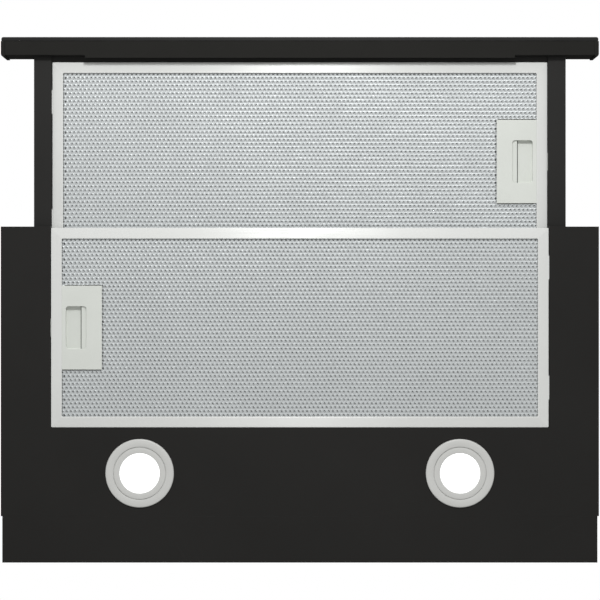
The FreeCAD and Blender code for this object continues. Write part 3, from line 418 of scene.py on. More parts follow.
def moulded(name, tint, rough, level=0.35, grain_scale=1500.0, spread=0.06):
    """Moulded plastic: fine spark grain, flow tone, soft edges and a few scuffs."""
    finish = Finish(name, rough, level=level)
    grain = finish.group("grain", Scale=grain_scale, Patch_Scale=22.0)
    finish.base(tint, grain["Tone"], spread)
    finish.over(finish.scratches(scale=40.0, amount=0.3), toned(tint, 1.6, extra=0.02), share=0.2)
    finish.over(finish.wear(scale=90.0, amount=0.35), toned(tint, 1.35, extra=0.02))
    finish.rough(grain["Height"], rough - 0.06, rough + 0.08)
    finish.rough_more(finish.marks(scale=30.0, amount=0.5), -0.08)
    finish.bump(grain["Height"], depth=0.00005, strength=0.5)
    return finish.done()


def brushed(name, tint, rough, along, across, depth, spread=0.05, uv="", pull=0.0, metal=1.0):
    """Rolled bare metal: drawn lines, cloudy tone, handling smears and bright edges."""
    finish = Finish(name, rough, metallic=metal, uv=uv)
    if pull:
        lay = add(finish.tree, "ShaderNodeTangent", direction_type="UV_MAP", uv_map=uv)
        finish.give(Tangent=lay.outputs["Tangent"], Anisotropic=pull, Anisotropic_Rotation=0.25)
    lines = finish.group("brushed", Along=along, Across=across)
    cloud = finish.group("grain", Scale=1100.0, Patch_Scale=16.0)
    finish.base(tint, cloud["Tone"], spread)
    finish.over(lines["Tone"], toned(tint, 0.82), share=0.10)
    finish.over(finish.wear(scale=80.0, amount=0.8), toned(tint, 1.25, most=0.92))
    finish.rough(lines["Tone"], rough - 0.06, rough + 0.08)
    finish.rough_more(finish.marks(scale=18.0, amount=0.5), 0.12)
    finish.bump(lines["Height"], depth=depth, strength=0.6)
    return finish.done()


def zinc(name, tint):
    """Galvanised sheet with its spangle."""
    finish = Finish(name, 0.36, metallic=1.0)
    spangle = finish.group("spangle", Scale=170.0)
    fine = finish.group("grain", Scale=1300.0, Patch_Scale=12.0)
    marks = finish.marks(scale=11.0, amount=0.6)
    finish.base(tint, spangle["Tone"], spread=0.07)
    finish.over(marks, toned(tint, 0.78), share=0.3)
    finish.over(finish.wear(scale=70.0, amount=0.6), toned(tint, 1.3, most=0.9))
    finish.rough(spangle["Tone"], 0.36, 0.48)
    finish.rough_more(marks, 0.08)
    finish.bump(spangle["Height"], depth=0.0001, strength=0.12)
    finish.bump(fine["Height"], depth=0.00002, strength=0.3)
    return finish.done()


def lit(name, tint, strength):
    """A lit opal cover of a faintly cloudy white."""
    finish = Finish(name, 0.35, level=0.4)
    grain = finish.group("grain", Scale=1600.0, Patch_Scale=30.0)
    finish.base(tint, grain["Tone"], spread=0.02)
    finish.rough(grain["Height"], 0.3, 0.42)
    finish.bump(grain["Height"], depth=0.00003, strength=0.3)
    glow = finish.blend(grain["Tone"], (0.97, 0.98, 1.0), (1.0, 1.0, 1.0))
    finish.give(Emission_Color=glow, Emission_Strength=strength)
    return finish.done()


def build_materials():
    """Builds the finishes once, from the colours in the panel."""
    tints = colours()
    MATERIALS.update(
        black_paint=coat("Black Powder Coat", tints.paint, rough=0.44, level=0.10, worn=0.22),
        visor_paint=coat("Black Visor Coat", tints.visor, rough=0.46, level=0.14, worn=0.22),
        front_paint=coat("Black Front Coat", tints.front, rough=0.7, level=0.0, worn=0.15),
        trim_paint=coat("Black Trim Coat", tints.trim, rough=0.42, level=0.15, worn=0.12),
        cap_plastic=moulded("Matt End Cap", tints.front, rough=0.7, level=0.0),
        galvanised=zinc("Galvanised Sheet", tints.zinc),
        black_plastic=moulded("Black Moulded Plastic", tints.plastic, rough=0.5, level=0.22),
        filter_aluminium=brushed(
            "Folded Aluminium", tints.aluminium, rough=0.40, along=9.0, across=2300.0, depth=0.00001,
            spread=0.02, uv="strip", pull=1.0, metal=0.07,
        ),
        filter_net=brushed(
            "Expanded Aluminium", tints.net, rough=0.42, along=60.0, across=1500.0, depth=0.00002,
            spread=0.025, metal=0.22,
        ),
        # Painted light: a lighter copy of the net's aluminium, so that the inner nets seen through the holes
        # read brighter.
        filter_depth=brushed(
            "Inner Aluminium Net", tints.depth, rough=0.55, along=60.0, across=1500.0, depth=0.00002,
            spread=0.03, metal=0.12,
        ),
        catch_plastic=moulded(
            "Grey Moulded Catch", tints.catch, rough=0.42, level=0.3, grain_scale=1700.0, spread=0.025,
        ),
        lamp_ring=moulded("Satin Lamp Ring", tints.lamp, rough=0.36, grain_scale=2000.0, spread=0.03),
        lamp_diffuser=lit("Lit Opal Cover", (0.85, 0.86, 0.86), strength=1.0),
        motor_metal=brushed(
            "Motor Laminations", tints.steel, rough=0.42, along=20.0, across=1500.0, depth=0.00005,
            spread=0.1,
        ),
        white_plastic=moulded("White Moulded Plastic", tints.white, rough=0.4, level=0.4, spread=0.03),
        magnet=moulded(
            "Ferrite", (0.035, 0.034, 0.033), rough=0.5, level=0.4, grain_scale=1200.0, spread=0.1,
        ),
        screw_steel=brushed(
            "Zinc-Plated Steel", (0.56, 0.56, 0.54), rough=0.3, along=40.0, across=900.0, depth=0.00002,
            spread=0.06,
        ),
    )


# Mesh helpers


def shown(name, data):
    """A new object with that mesh, light or camera, in the scene."""
    made = bpy.data.objects.new(name, data)
    bpy.context.scene.collection.objects.link(made)
    return made


def mesh_of(name, work):
    """The bmesh as a mesh; the bmesh goes."""
    mesh = bpy.data.meshes.new(name)
    work.to_mesh(mesh)
    work.free()
    return mesh


def finished(name, work):
    """The bmesh as a shown object, with its faces turned outwards."""
    bmesh.ops.recalc_face_normals(work, faces=work.faces)
    return shown(name, mesh_of(name, work))


def plain_mesh(name, obj):
    """The evaluated mesh of an object with modifiers, as an object of its own; the first one goes."""
    bpy.context.view_layer.update()
    graph = bpy.context.evaluated_depsgraph_get()
    mesh = bpy.data.meshes.new_from_object(
        obj.evaluated_get(graph), preserve_all_data_layers=True, depsgraph=graph)
    before = obj.data
    bpy.data.objects.remove(obj)
    bpy.data.meshes.remove(before)
    mesh.name = name
    return shown(name, mesh)


def shade_smooth(obj):
    """Shades every face smooth."""
    obj.data.polygons.foreach_set("use_smooth", [True] * len(obj.data.polygons))


def settle(obj, material, rides_on, stands_for=(), smooth=35.0):
    """Shades and paints one finished piece, hangs it on the body of a CAD node and hides the nodes that it
    stands for.
    """
    shade_smooth(obj)
    if smooth and not obj.data.has_custom_normals:
        obj.data.set_sharp_from_angle(angle=math.radians(smooth))
    obj.data.materials.clear()
    obj.data.materials.append(MATERIALS[material])
    for face in obj.data.polygons:
        face.material_index = 0
    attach(obj, body_of(NODES[rides_on])[0])
    if stands_for:
        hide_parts(*stands_for)


def keep_flats(mesh):
    """Gives the flat faces their own normals at every corner, so that only the rims turn."""
    around = [[] for vert in mesh.vertices]
    for face in mesh.polygons:
        if face.material_index == 0:
            for vert in face.vertices:
                around[vert].append((face.normal.copy(), face.area))
    own = [entry.vector.copy() for entry in mesh.vertex_normals]
    normals = []
    for face in mesh.polygons:
        reach = FLAT_REACH if face.material_index == 0 else RIM_REACH
        for vert in face.vertices:
            total = Vector()
            for normal, area in around[vert]:
                if normal.dot(face.normal) > reach:
                    total += normal * area
            normals.append(total.normalized() if total.length > 0.0 else own[vert])
    mesh.normals_split_custom_set(normals)


def soften(obj, width, steps):
    """Bevels the edges of a piece and marks the new faces with the rim attribute."""
    obj.data.materials.clear()
    for material in ("black_paint", "galvanised"):
        obj.data.materials.append(MATERIALS[material])
    bevel = obj.modifiers.new("Edges", "BEVEL")
    bevel.width = width
    bevel.segments = steps
    bevel.limit_method = "ANGLE"
    bevel.angle_limit = RIM_ANGLE
    bevel.use_clamp_overlap = True
    bevel.material = 1
    shade_smooth(obj)
    name = obj.name
    obj.name = name + "_work"
    made = plain_mesh(name, obj)
    keep_flats(made.data)
    rims = [float(face.material_index == 1) for face in made.data.polygons]
    made.data.attributes.new("rim", "FLOAT", "FACE").data.foreach_set("value", rims)
    return made


def dress(node, material, width, steps=2, shape=None):
    """A softened copy of a CAD node that stands for it; shape may change the copy first."""
    work = bmesh.new()
    work.from_mesh(NODES[node].data)
    bmesh.ops.remove_doubles(work, verts=work.verts, dist=SAME_PLACE)
    bmesh.ops.dissolve_limit(work, angle_limit=STILL_FLAT, verts=work.verts, edges=work.edges)
    if shape:
        shape(work)
    name = node + "_piece"
    made = soften(shown(name, mesh_of(name, work)), width, steps)
    settle(made, material, node, (node,))


def in_mm(points):
    """Points in millimetres, in metres."""
    return [tuple(part * MM for part in point) for point in points]


def centre_of(node, level=None):
    """The middle of a CAD node's box, or the point at that level above or below it."""
    x, y, z = ((near + far) / 2 for near, far in zip(*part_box(node)))
    return Vector((x, y, z if level is None else level))


def lathe(name, centre, outline, turns=72, axis="Z", flutes=None):
    """A closed mesh turned about an axis from (radius, distance) points.

    An outline that starts off the axis makes a ring. Flutes are their number, their depth and the two
    distances between which they are cut.
    """
    work = bmesh.new()
    rings = []
    for radius, along in outline:
        ring = []
        for step in range(turns if radius > 1e-6 else 1):
            angle = math.tau * step / turns
            reach = radius
            if flutes and flutes[2] <= along <= flutes[3]:
                reach -= flutes[1] * max(0.0, math.cos(flutes[0] * angle)) ** 2
            across, up = reach * math.cos(angle), reach * math.sin(angle)
            offset = (across, up, along) if axis == "Z" else (along, across, up)
            ring.append(work.verts.new(Vector(centre) + Vector(offset)))
        rings.append(ring)
    round_again = rings[:1] if outline[0][0] > 1e-6 else []
    for ring, following in zip(rings, rings[1:] + round_again):
        for step in range(turns):
            after = (step + 1) % turns
            corners = [ring[step % len(ring)], ring[after % len(ring)],
                       following[after % len(following)], following[step % len(following)]]
            work.faces.new(list(dict.fromkeys(corners)))
    return finished(name, work)


def turned_part(name, node, material, centre, outline, turns=72, axis="Z", flutes=None):
    """A turned piece, its outline in millimetres, that stands for a CAD node."""
    made = lathe(name, centre, in_mm(outline), turns, axis, flutes)
    settle(made, material, node, (node,), smooth=32.0)


# Geometry node trees


def expanded_net(tree, give):
    """One cell repeated over a field, row by row, with a bay left free and strands that stray."""
    sides = {}
    for axis, step, count in (("X", "Pitch", "Columns"), ("Y", "Row", "Rows")):
        gaps = maths(tree, "SUBTRACT", give[count], 1.0)
        sides["Size " + axis] = maths(tree, "MULTIPLY", gaps, give[step])
        sides["Vertices " + axis] = give[count]
    field = add(tree, "GeometryNodeMeshGrid", sides)
    index = add(tree, "GeometryNodeInputIndex").outputs[0]
    odd = maths(tree, "MODULO", maths(tree, "MODULO", index, give["Rows"]), 2.0)
    half = maths(tree, "MULTIPLY", give["Pitch"], maths(tree, "SUBTRACT", odd, 0.5))
    shift = add(tree, "ShaderNodeCombineXYZ", {"X": maths(tree, "MULTIPLY", half, 0.5)})
    move = vectors(tree, "ADD", give["Middle"], shift.outputs[0])
    placed = add(tree, "GeometryNodeSetPosition", {"Geometry": field.outputs["Mesh"], "Offset": move})
    where = add(tree, "GeometryNodeInputPosition").outputs[0]
    at, bay_low, bay_high = (parts(tree, point) for point in (where, give["Bay Low"], give["Bay High"]))
    within = [
        maths(tree, "MULTIPLY", maths(tree, "GREATER_THAN", at[axis], bay_low[axis]),
              maths(tree, "LESS_THAN", at[axis], bay_high[axis]))
        for axis in ("X", "Y")
    ]
    left = add(tree, "GeometryNodeDeleteGeometry", {
        "Geometry": placed.outputs[0], "Selection": maths(tree, "MULTIPLY", *within)}, domain="POINT")
    repeat = add(tree, "GeometryNodeInstanceOnPoints", {
        "Points": left.outputs[0], "Instance": give["Geometry"]})
    real = add(tree, "GeometryNodeRealizeInstances", {0: repeat.outputs[0]})
    weld = add(tree, "GeometryNodeMergeByDistance", {"Geometry": real.outputs[0], "Distance": JOIN})
    drifts = []
    for scale, share in ((28.0, 1.0), (420.0, 0.7)):
        cloud = add(tree, "ShaderNodeTexNoise", {
            "Vector": where, "W": give["Seed"], "Scale": scale, "Detail": 1.0}, noise_dimensions="4D")
        centred = vectors(tree, "SUBTRACT", cloud.outputs["Color"], (0.5, 0.5, 0.5))
        reach = (2.0 * share, 2.0 * share, 0.25 + 0.2 * share)
        drifts.append(vectors(tree, "MULTIPLY", centred, reach))
    drift = add(tree, "ShaderNodeVectorMath", {
        0: vectors(tree, "ADD", *drifts), "Scale": give["Wander"]}, operation="SCALE")
    return add(tree, "GeometryNodeSetPosition", {"Geometry": weld.outputs[0], "Offset": drift.outputs[0]})


def in_places(tree, give):
    """The Head object on every point of a mesh, turned as the point's turn attribute says."""
    head = add(tree, "GeometryNodeObjectInfo", {"Object": give["Head"]})
    turn = add(tree, "GeometryNodeInputNamedAttribute", {"Name": "turn"}, data_type="FLOAT_VECTOR")
    repeat = add(tree, "GeometryNodeInstanceOnPoints", {
        "Points": give["Geometry"], "Instance": head.outputs["Geometry"],
        "Rotation": turn.outputs[0], "Scale": give["Scale"],
    })
    return add(tree, "GeometryNodeRealizeInstances", {0: repeat.outputs[0]})


def geometry_tree(name, inputs, make):
    """A geometry tree with named inputs, which paints the geometry of the node that make returns."""
    tree = bpy.data.node_groups.new(name, "GeometryNodeTree")
    for label, kind in (("Geometry", "Geometry"), *inputs.items(), ("Material", "Material")):
        tree.interface.new_socket(label, in_out="INPUT", socket_type="NodeSocket" + kind)
    tree.interface.new_socket("Geometry", in_out="OUTPUT", socket_type="NodeSocketGeometry")
    give = add(tree, "NodeGroupInput").outputs
    painted = add(tree, "GeometryNodeSetMaterial", {
        "Geometry": make(tree, give).outputs[0], "Material": give["Material"]})
    add(tree, "NodeGroupOutput", {0: painted.outputs[0]})
    return tree


TREES = {}


def build_trees():
    """Builds each geometry tree once."""
    TREES["net"] = geometry_tree("Expanded Net", {
        "Middle": "Vector", "Pitch": "Float", "Row": "Float", "Columns": "Int", "Rows": "Int",
        "Bay Low": "Vector", "Bay High": "Vector", "Wander": "Float", "Seed": "Int",
    }, expanded_net)
    TREES["places"] = geometry_tree("Set In Places", {"Head": "Object", "Scale": "Float"}, in_places)


def grow(name, mesh, tree, material, values):
    """Runs a geometry tree on a mesh and gives the result as a plain object."""
    obj = shown(name + "_work", mesh)
    modifier = obj.modifiers.new("Tree", "NODES")
    modifier.node_group = TREES[tree]
    values["Material"] = MATERIALS[material]
    for item in TREES[tree].interface.items_tree:
        if item.in_out == "INPUT" and item.name in values:
            modifier[item.identifier] = values[item.name]
    return plain_mesh(name, obj)


# Screws, beads and blades, which are set out in places


def facing(normal, along):
    """The turn that carries Z to a normal and X to a direction square to it."""
    up, out = Vector(normal), Vector(along)
    turn = Matrix((out, up.cross(out), up)).transposed()
    return tuple(turn.to_euler())


def spots(xs, ys, level, normal, along):
    """Places for heads at each x and y of one level, all turned the same way."""
    return [((x, y, level), facing(normal, along)) for x in xs for y in ys]


def set_out(name, head, places, scale, material, node, stands_for=()):
    """One head on every (point, turn) of a list, as one piece on the body of a CAD node."""
    points = bpy.data.meshes.new(name + "_points")
    points.from_pydata([tuple(point) for point, turn in places], [], [])
    turns = points.attributes.new("turn", "FLOAT_VECTOR", "POINT")
    turns.data.foreach_set("vector", [part for point, turn in places for part in turn])
    made = grow(name, points, "places", material, {"Head": head, "Scale": scale})
    bpy.data.objects.remove(head)
    settle(made, material, node, stands_for)


def stacked(name, rings):
    """A closed mesh through rings of the same number of points, capped at both ends."""
    work = bmesh.new()
    loops = [[work.verts.new(point) for point in ring] for ring in rings]
    for low, high in zip(loops, loops[1:]):
        for step in range(len(low)):
            after = (step + 1) % len(low)
            work.faces.new((low[step], low[after], high[after], high[step]))
    work.faces.new(loops[0][::-1])
    work.faces.new(loops[-1])
    return finished(name, work)


def pan_head(name):
    """A pan head with a crossed recess, one unit across, standing on its washer."""
    arms = ((1, 0), (0, 1), (-1, 0), (0, -1))
    corners = ((1.0, -1.0), (1.0, 1.0), (0.26, 1.0))
    long, wide = 0.27, 0.07
    cross = [(a * long * x - b * wide * y, a * long * y + b * wide * x)
             for x, y in arms for a, b in corners]
    angles = [math.atan2(y, x) for x, y in cross]

    def ring(radius, height):
        return [(radius * math.cos(angle), radius * math.sin(angle), height) for angle in angles]

    return stacked(name, [
        ring(0.62, -0.01), ring(0.62, 0.06), ring(0.5, 0.08), ring(0.49, 0.2), ring(0.42, 0.29),
        ring(0.33, 0.33), [(x, y, 0.345) for x, y in cross], [(x * 0.8, y * 0.8, 0.17) for x, y in cross],
    ])


def pressed_bead(name, long, wide, rise):
    """A pressed stiffening bead: a long raised lozenge with sloped sides and round ends."""
    rings = []
    slope = ((0.0, -0.0002), (0.0, 0.00002), (0.16, rise * 0.55), (0.3, rise * 0.95), (0.36, rise))
    for inset, height in slope:
        radius = wide * (0.5 - inset)
        ring = []
        for end in (1.0, -1.0):
            middle = end * (long - wide) / 2
            for step in range(7):
                angle = math.pi * step / 6 - end * QUARTER
                ring.append((middle + radius * math.cos(angle), radius * math.sin(angle), height))
        rings.append(ring)
    return stacked(name, rings)


def blade_section(root, tip, lean, thick, steps=5):
    """A forward-curved blade's outline in the plane across its axle, from its root to its tip and back."""
    near, far = [], []
    for step in range(steps + 1):
        part = step / steps
        radius = root + (tip - root) * part
        across = lean * part ** 1.8
        half = thick * (0.5 - 0.15 * part)
        near.append((across - half, radius))
        far.append((across + half, radius))
    return near + far[::-1]


# The filters


def cell_mesh(name, pitch, row, hole, slit, gauge, rise, slant):
    """One brick-shaped cell of expanded foil round its slanted hole, with its crests."""
    wide, tall = pitch / 2, row / 2
    rim = [
        (wide, -tall, -rise), (wide, 0.0, rise * 0.7), (wide, tall, -rise), (0.0, tall, -rise),
        (-wide, tall, -rise), (-wide, 0.0, rise * 0.7), (-wide, -tall, -rise), (0.0, -tall, -rise),
    ]
    mouth = [
        (x * hole + slant * y * slit, y * slit, z * rise)
        for x, y, z in ((0.5, -1.0, -0.3), (1.0, 0.0, 0.4), (0.5, 1.0, 1.0),
                        (-0.5, 1.0, 1.0), (-1.0, 0.0, 0.4), (-0.5, -1.0, -0.3))
    ]
    work = bmesh.new()
    skins = []
    for side in (-0.5, 0.5):
        skins.append([
            [work.verts.new((x, y, z + side * gauge)) for x, y, z in points] for points in (rim, mouth)
        ])
    for skin, (outer, inner) in enumerate(skins):
        fans = [(outer[at], outer[(at + 1) % 8], inner[near])
                for at, near in enumerate((0, 1, 2, 3, 3, 4, 5, 5))]
        ties = [(outer[at % 8], inner[(step + 1) % 6], inner[step])
                for step, at in enumerate((1, 2, 3, 5, 6, 8))]
        for corners in fans + ties:
            work.faces.new(corners if skin else corners[::-1])
    lower, upper = skins[0][1], skins[1][1]
    for step in range(6):
        after = (step + 1) % 6
        work.faces.new((lower[step], lower[after], upper[after], upper[step]))
    return mesh_of(name, work)


def net_layer(name, node, height, bay, material, slant, seed, scale=1.0, shift=0.0, mouth=1.0):
    """One layer of net inside a filter, at that height in the frame, over the node's own field."""
    own = sizes()
    low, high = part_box(node)
    pitch = own.net_pitch * scale
    row = own.net_row * scale
    hole, slit = own.net_hole * scale * mouth, own.net_slit * scale * mouth
    unit = cell_mesh(name + "_cell", pitch, row, hole, slit, own.net_gauge, own.net_rise, slant)
    made = grow(name, unit, "net", material, {
        "Middle": ((low[0] + high[0]) / 2 + shift * pitch, (low[1] + high[1]) / 2, height),
        "Pitch": pitch, "Columns": int((high[0] - low[0] - NET_SIDES) / pitch),
        "Row": row, "Rows": math.ceil((high[1] - low[1] - NET_ENDS) / row),
        "Bay Low": bay[0], "Bay High": bay[1], "Wander": own.net_wander, "Seed": seed,
    })
    settle(made, material, node, (node,), smooth=0.0)


def corner_radius(inset):
    """The radius of a filter frame's corner at that distance in from its outer wall."""
    return 0.0011 if inset < 0.003 else 0.0004 + inset * 0.06


def folded_strip(section, low, high, steps=4):
    """A closed strip of that section round a rectangle, with a UV map that runs along each bar."""
    work = bmesh.new()
    rings = []
    for inset, rise in section:
        radius = corner_radius(inset)
        ring = []
        left, right = low[0] + inset + radius, high[0] - inset - radius
        front, back = low[1] + inset + radius, high[1] - inset - radius
        for corner, (x, y) in enumerate(((right, back), (left, back), (left, front), (right, front))):
            for step in range(steps + 1):
                turn = QUARTER * (corner + step / steps)
                place = (x + radius * math.cos(turn), y + radius * math.sin(turn), low[2] + rise)
                ring.append(work.verts.new(place))
        rings.append(ring)
    strip = work.loops.layers.uv.new("strip")
    count = len(rings[0])
    for ring, following in zip(rings, rings[1:] + rings[:1]):
        for step in range(count):
            after = (step + 1) % count
            face = work.faces.new((ring[step], ring[after], following[after], following[step]))
            span = ring[after].co - ring[step].co
            along_x = abs(span.x) > abs(span.y)
            for corner in face.loops:
                x, y, z = corner.vert.co
                corner[strip].uv = (x, y + z) if along_x else (y, x + z)
    bmesh.ops.recalc_face_normals(work, faces=work.faces)
    return work


def filter_section(height, border, wall, step):
    """The folded bar of a filter frame: a flat face, a pressed lip beside the net and a tall outer wall."""
    return [
        (border, wall), (border, 0.00035), (border - 0.00012, 0.0001), (border - 0.0004, 0.0),
        (border - 0.0015, 0.0), (border - 0.0018, step), (0.0006, step), (0.00018, step + 0.00018),
        (0.0, step + 0.0006), (0.0, height - 0.0009), (0.0003, height - 0.00025),
        (0.0009, height), (border, height), (border, height - wall), (wall, height - wall), (wall, wall),
    ]


def filter_frame(node, name, way):
    """The frame of one filter, folded from strip, with its two tabs; way is the side they are on."""
    low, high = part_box(node)
    edge = (high[0] if way > 0.0 else low[0]) - way * FRAME_TAB
    if way > 0.0:
        high = (edge, high[1], high[2])
    else:
        low = (edge, low[1], low[2])
    section = filter_section(high[2] - low[2], FRAME_BORDER, FRAME_WALL, sizes().fold_step)
    work = folded_strip(section, low, high)
    root, sink, apart, wide, thick = 0.0006, 0.0009, 0.06, 0.024, 0.0014
    for side in (-apart, apart):
        place = (edge + way * (FRAME_TAB - root) / 2, (low[1] + high[1]) / 2 + side, low[2] + sink)
        size = Matrix.Diagonal((FRAME_TAB + root, wide, thick, 1.0))
        tab = bmesh.ops.create_cube(work, size=1.0, matrix=Matrix.Translation(place) @ size)["verts"]
        edges = {around for vert in tab for around in vert.link_edges}
        bmesh.ops.bevel(work, geom=list(edges), offset=0.0004, segments=2, affect="EDGES")
    strip = work.loops.layers.uv["strip"]
    for face in work.faces:
        for corner in face.loops:
            if corner[strip].uv.length == 0.0:
                corner[strip].uv = corner.vert.co.yx
    made = shown(name, mesh_of(name, work))
    settle(made, "filter_aluminium", node, (node,), smooth=30.0)


class HOOD_OT_filters(Operator):
    """Folded frames and expanded nets of the two grease filters"""

    bl_idname = "hood.filters"
    bl_label = "Grease Filters"

    def execute(self, context):
        lap = 0.0006
        outer, inner, upper = 0.0013, 0.0029, 0.0007  # how far in from the filter's faces
        for end, way in (("rear", 1.0), ("front", -1.0)):
            filter_frame(end + "_filter_frame", end + "_filter_folded_frame", way)
            node = end + "_filter_mesh"
            low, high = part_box(node)
            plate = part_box(end + "_filter_handle_plate")
            (left, front), (right, back) = plate[0][:2], plate[1][:2]
            beside = ((left + lap, front + lap, 0.0), (right - lap, back - lap, 0.0))
            lean = way * 0.15
            name = end + "_filter_{}_net"
            net_layer(name.format("outer"), node, low[2] + outer, beside, "filter_net", lean, seed=3)
            net_layer(name.format("inner"), node, low[2] + inner, plate, "filter_depth", -lean, seed=5,
                      shift=0.46, mouth=0.55)
            net_layer(name.format("upper"), node, high[2] - upper, plate, "filter_net", lean, seed=9,
                      scale=1.5)
        return {"FINISHED"}


class HOOD_OT_catches(Operator):
    """Moulded catch plates with their pull bars, and beside each bar a dark strip that is painted shadow"""

    bl_idname = "hood.catches"
    bl_label = "Filter Catches"

    def execute(self, context):
        tuck = 0.0011
        pocket, to_shadow_strip, margin, cut = 0.0059, 0.0044, 0.0009, 0.0003
        behind, ahead = 0.0003, 0.0010
        for end, side in (("rear", -1.0), ("front", 1.0)):
            plate, node = end + "_filter_handle_plate", end + "_filter_latch"
            low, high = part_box(node)
            edge = low[0] if side > 0.0 else high[0]

            def under_plate(work, edge=edge, side=side):
                """Carries the pull bar's back under the plate, so that no gap shows beside it."""
                for vert in work.verts:
                    if abs(vert.co.x - edge) < 0.0002:
                        vert.co.x -= side * tuck

            dress(plate, "catch_plastic", width=0.00035, steps=3)
            dress(node, "catch_plastic", width=0.0005, steps=3, shape=under_plate)
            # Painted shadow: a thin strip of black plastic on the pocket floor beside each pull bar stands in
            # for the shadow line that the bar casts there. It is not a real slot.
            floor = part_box(plate)[0][2] + pocket
            foot = edge + side * to_shadow_strip
            start, stop = sorted((foot - side * behind, foot + side * ahead))
            rings = []
            for inset, depth in ((0.0001, 0.0003), (0.0, 0.0002), (0.0, -0.0001), (0.0001, -0.0002)):
                left, right = start + inset, stop - inset
                front, back = low[1] + margin + inset, high[1] - margin - inset
                rings.append([(x, y, floor + depth) for x, y in (
                    (left, front + cut), (left + cut, front), (right - cut, front), (right, front + cut),
                    (right, back - cut), (right - cut, back), (left + cut, back), (left, back - cut),
                )])
            settle(stacked(end + "_catch_slot", rings), "black_plastic", node)
        return {"FINISHED"}


# Lamps, sheets, front


class HOOD_OT_lamps(Operator):
    """Round lamps with satin rings and lit covers"""

    bl_idname = "hood.lamps"
    bl_label = "Lamps"

    def execute(self, context):
        fins = []
        for level in range(LAMP_FINS):
            foot = 5.0 + 3.2 * level
            fins += [(26.5, foot), (26.5, foot + 1.2), (23.6, foot + 1.5), (23.6, foot + 2.9)]
        for side in ("left", "right"):
            node = f"lamp_{side}_housing"
            centre = centre_of(node, TRAY_UNDERSIDE)
            turned_part(f"lamp_{side}_ring", node, "lamp_ring", centre, [
                (0.0, 0.2), (20.0, 0.2), (20.0, -1.45), (20.25, -1.72), (20.7, -1.85), (25.4, -1.85),
                (25.75, -1.75), (25.85, -1.4), (25.85, -0.9), (26.42, -0.9), (26.42, -1.7), (26.52, -2.05),
                (26.8, -2.2), (32.9, -2.2), (33.6, -2.0), (34.05, -1.55), (34.2, -0.9), (34.2, 0.0),
                (26.5, 0.0), *fins, (26.5, 21.2), (26.2, 22.4), (25.0, 23.3), (10.0, 23.3), (9.4, 24.0),
                (0.0, 24.0),
            ], turns=96)
            turned_part(f"lamp_{side}_cover", f"lamp_{side}_lens", "lamp_diffuser", centre, [
                (0.0, 0.2), (19.9, 0.2), (19.9, -1.35), (19.7, -1.6), (19.3, -1.72), (14.0, -1.78),
                (0.0, -1.8),
            ])
        return {"FINISHED"}


class HOOD_OT_sheets(Operator):
    """Folded sheets of the body, the housing and the visor"""

    bl_idname = "hood.sheets"
    bl_label = "Folded Sheets"

    def execute(self, context):
        edge = sizes().sheet_edge
        for material, width, nodes in (
            ("black_paint", edge,
             ("bottom_panel", "tray_left_side", "tray_right_side", "tray_rear_wall", "rear_spacer")),
            ("visor_paint", edge,
             ("visor_left_channel", "visor_right_channel", "visor_front_bar", "visor_rear_bar")),
            ("galvanised", edge / 2,
             ("tray_deck", "housing_front", "housing_left_side", "housing_right_side", "housing_rear",
              "housing_top", "visor_top_sheet", "motor_bracket")),
        ):
            for node in nodes:
                dress(node, material, width)
        return {"FINISHED"}


class HOOD_OT_front(Operator):
    """The visor's profile, end caps, trim and slide switches"""

    bl_idname = "hood.front"
    bl_label = "Visor Front"

    def execute(self, context):
        edge = sizes().moulded_edge
        dress("front_profile", "front_paint", edge * 1.6)
        dress("front_trim", "trim_paint", edge * 1.8, steps=3)

        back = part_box("front_profile_caps")[1][1]
        near_back, reach = 0.0003, 0.0010

        def longer(work):
            """Carries the caps back to the profile's rear lip."""
            for vert in work.verts:
                if vert.co.y > back - near_back:
                    vert.co.y += reach

        dress("front_profile_caps", "cap_plastic", edge, shape=longer)
        for node in ("control_block", "speed_slider", "light_slider"):
            dress(node, "black_plastic", edge)
        return {"FINISHED"}


class HOOD_OT_slides(Operator):
    """Telescopic slides of the visor"""

    bl_idname = "hood.slides"
    bl_label = "Telescopic Slides"

    def execute(self, context):
        for side in ("left", "right"):
            for part in ("hanger", "outer", "middle", "inner"):
                dress(f"rail_{side}_{part}", "galvanised", width=0.0002)
        return {"FINISHED"}


# Blower, outlet, electrics


def axle():
    """The middle of the drum, on the hood's middle plane."""
    middle = centre_of("impeller")
    middle.x = 0.0
    return middle


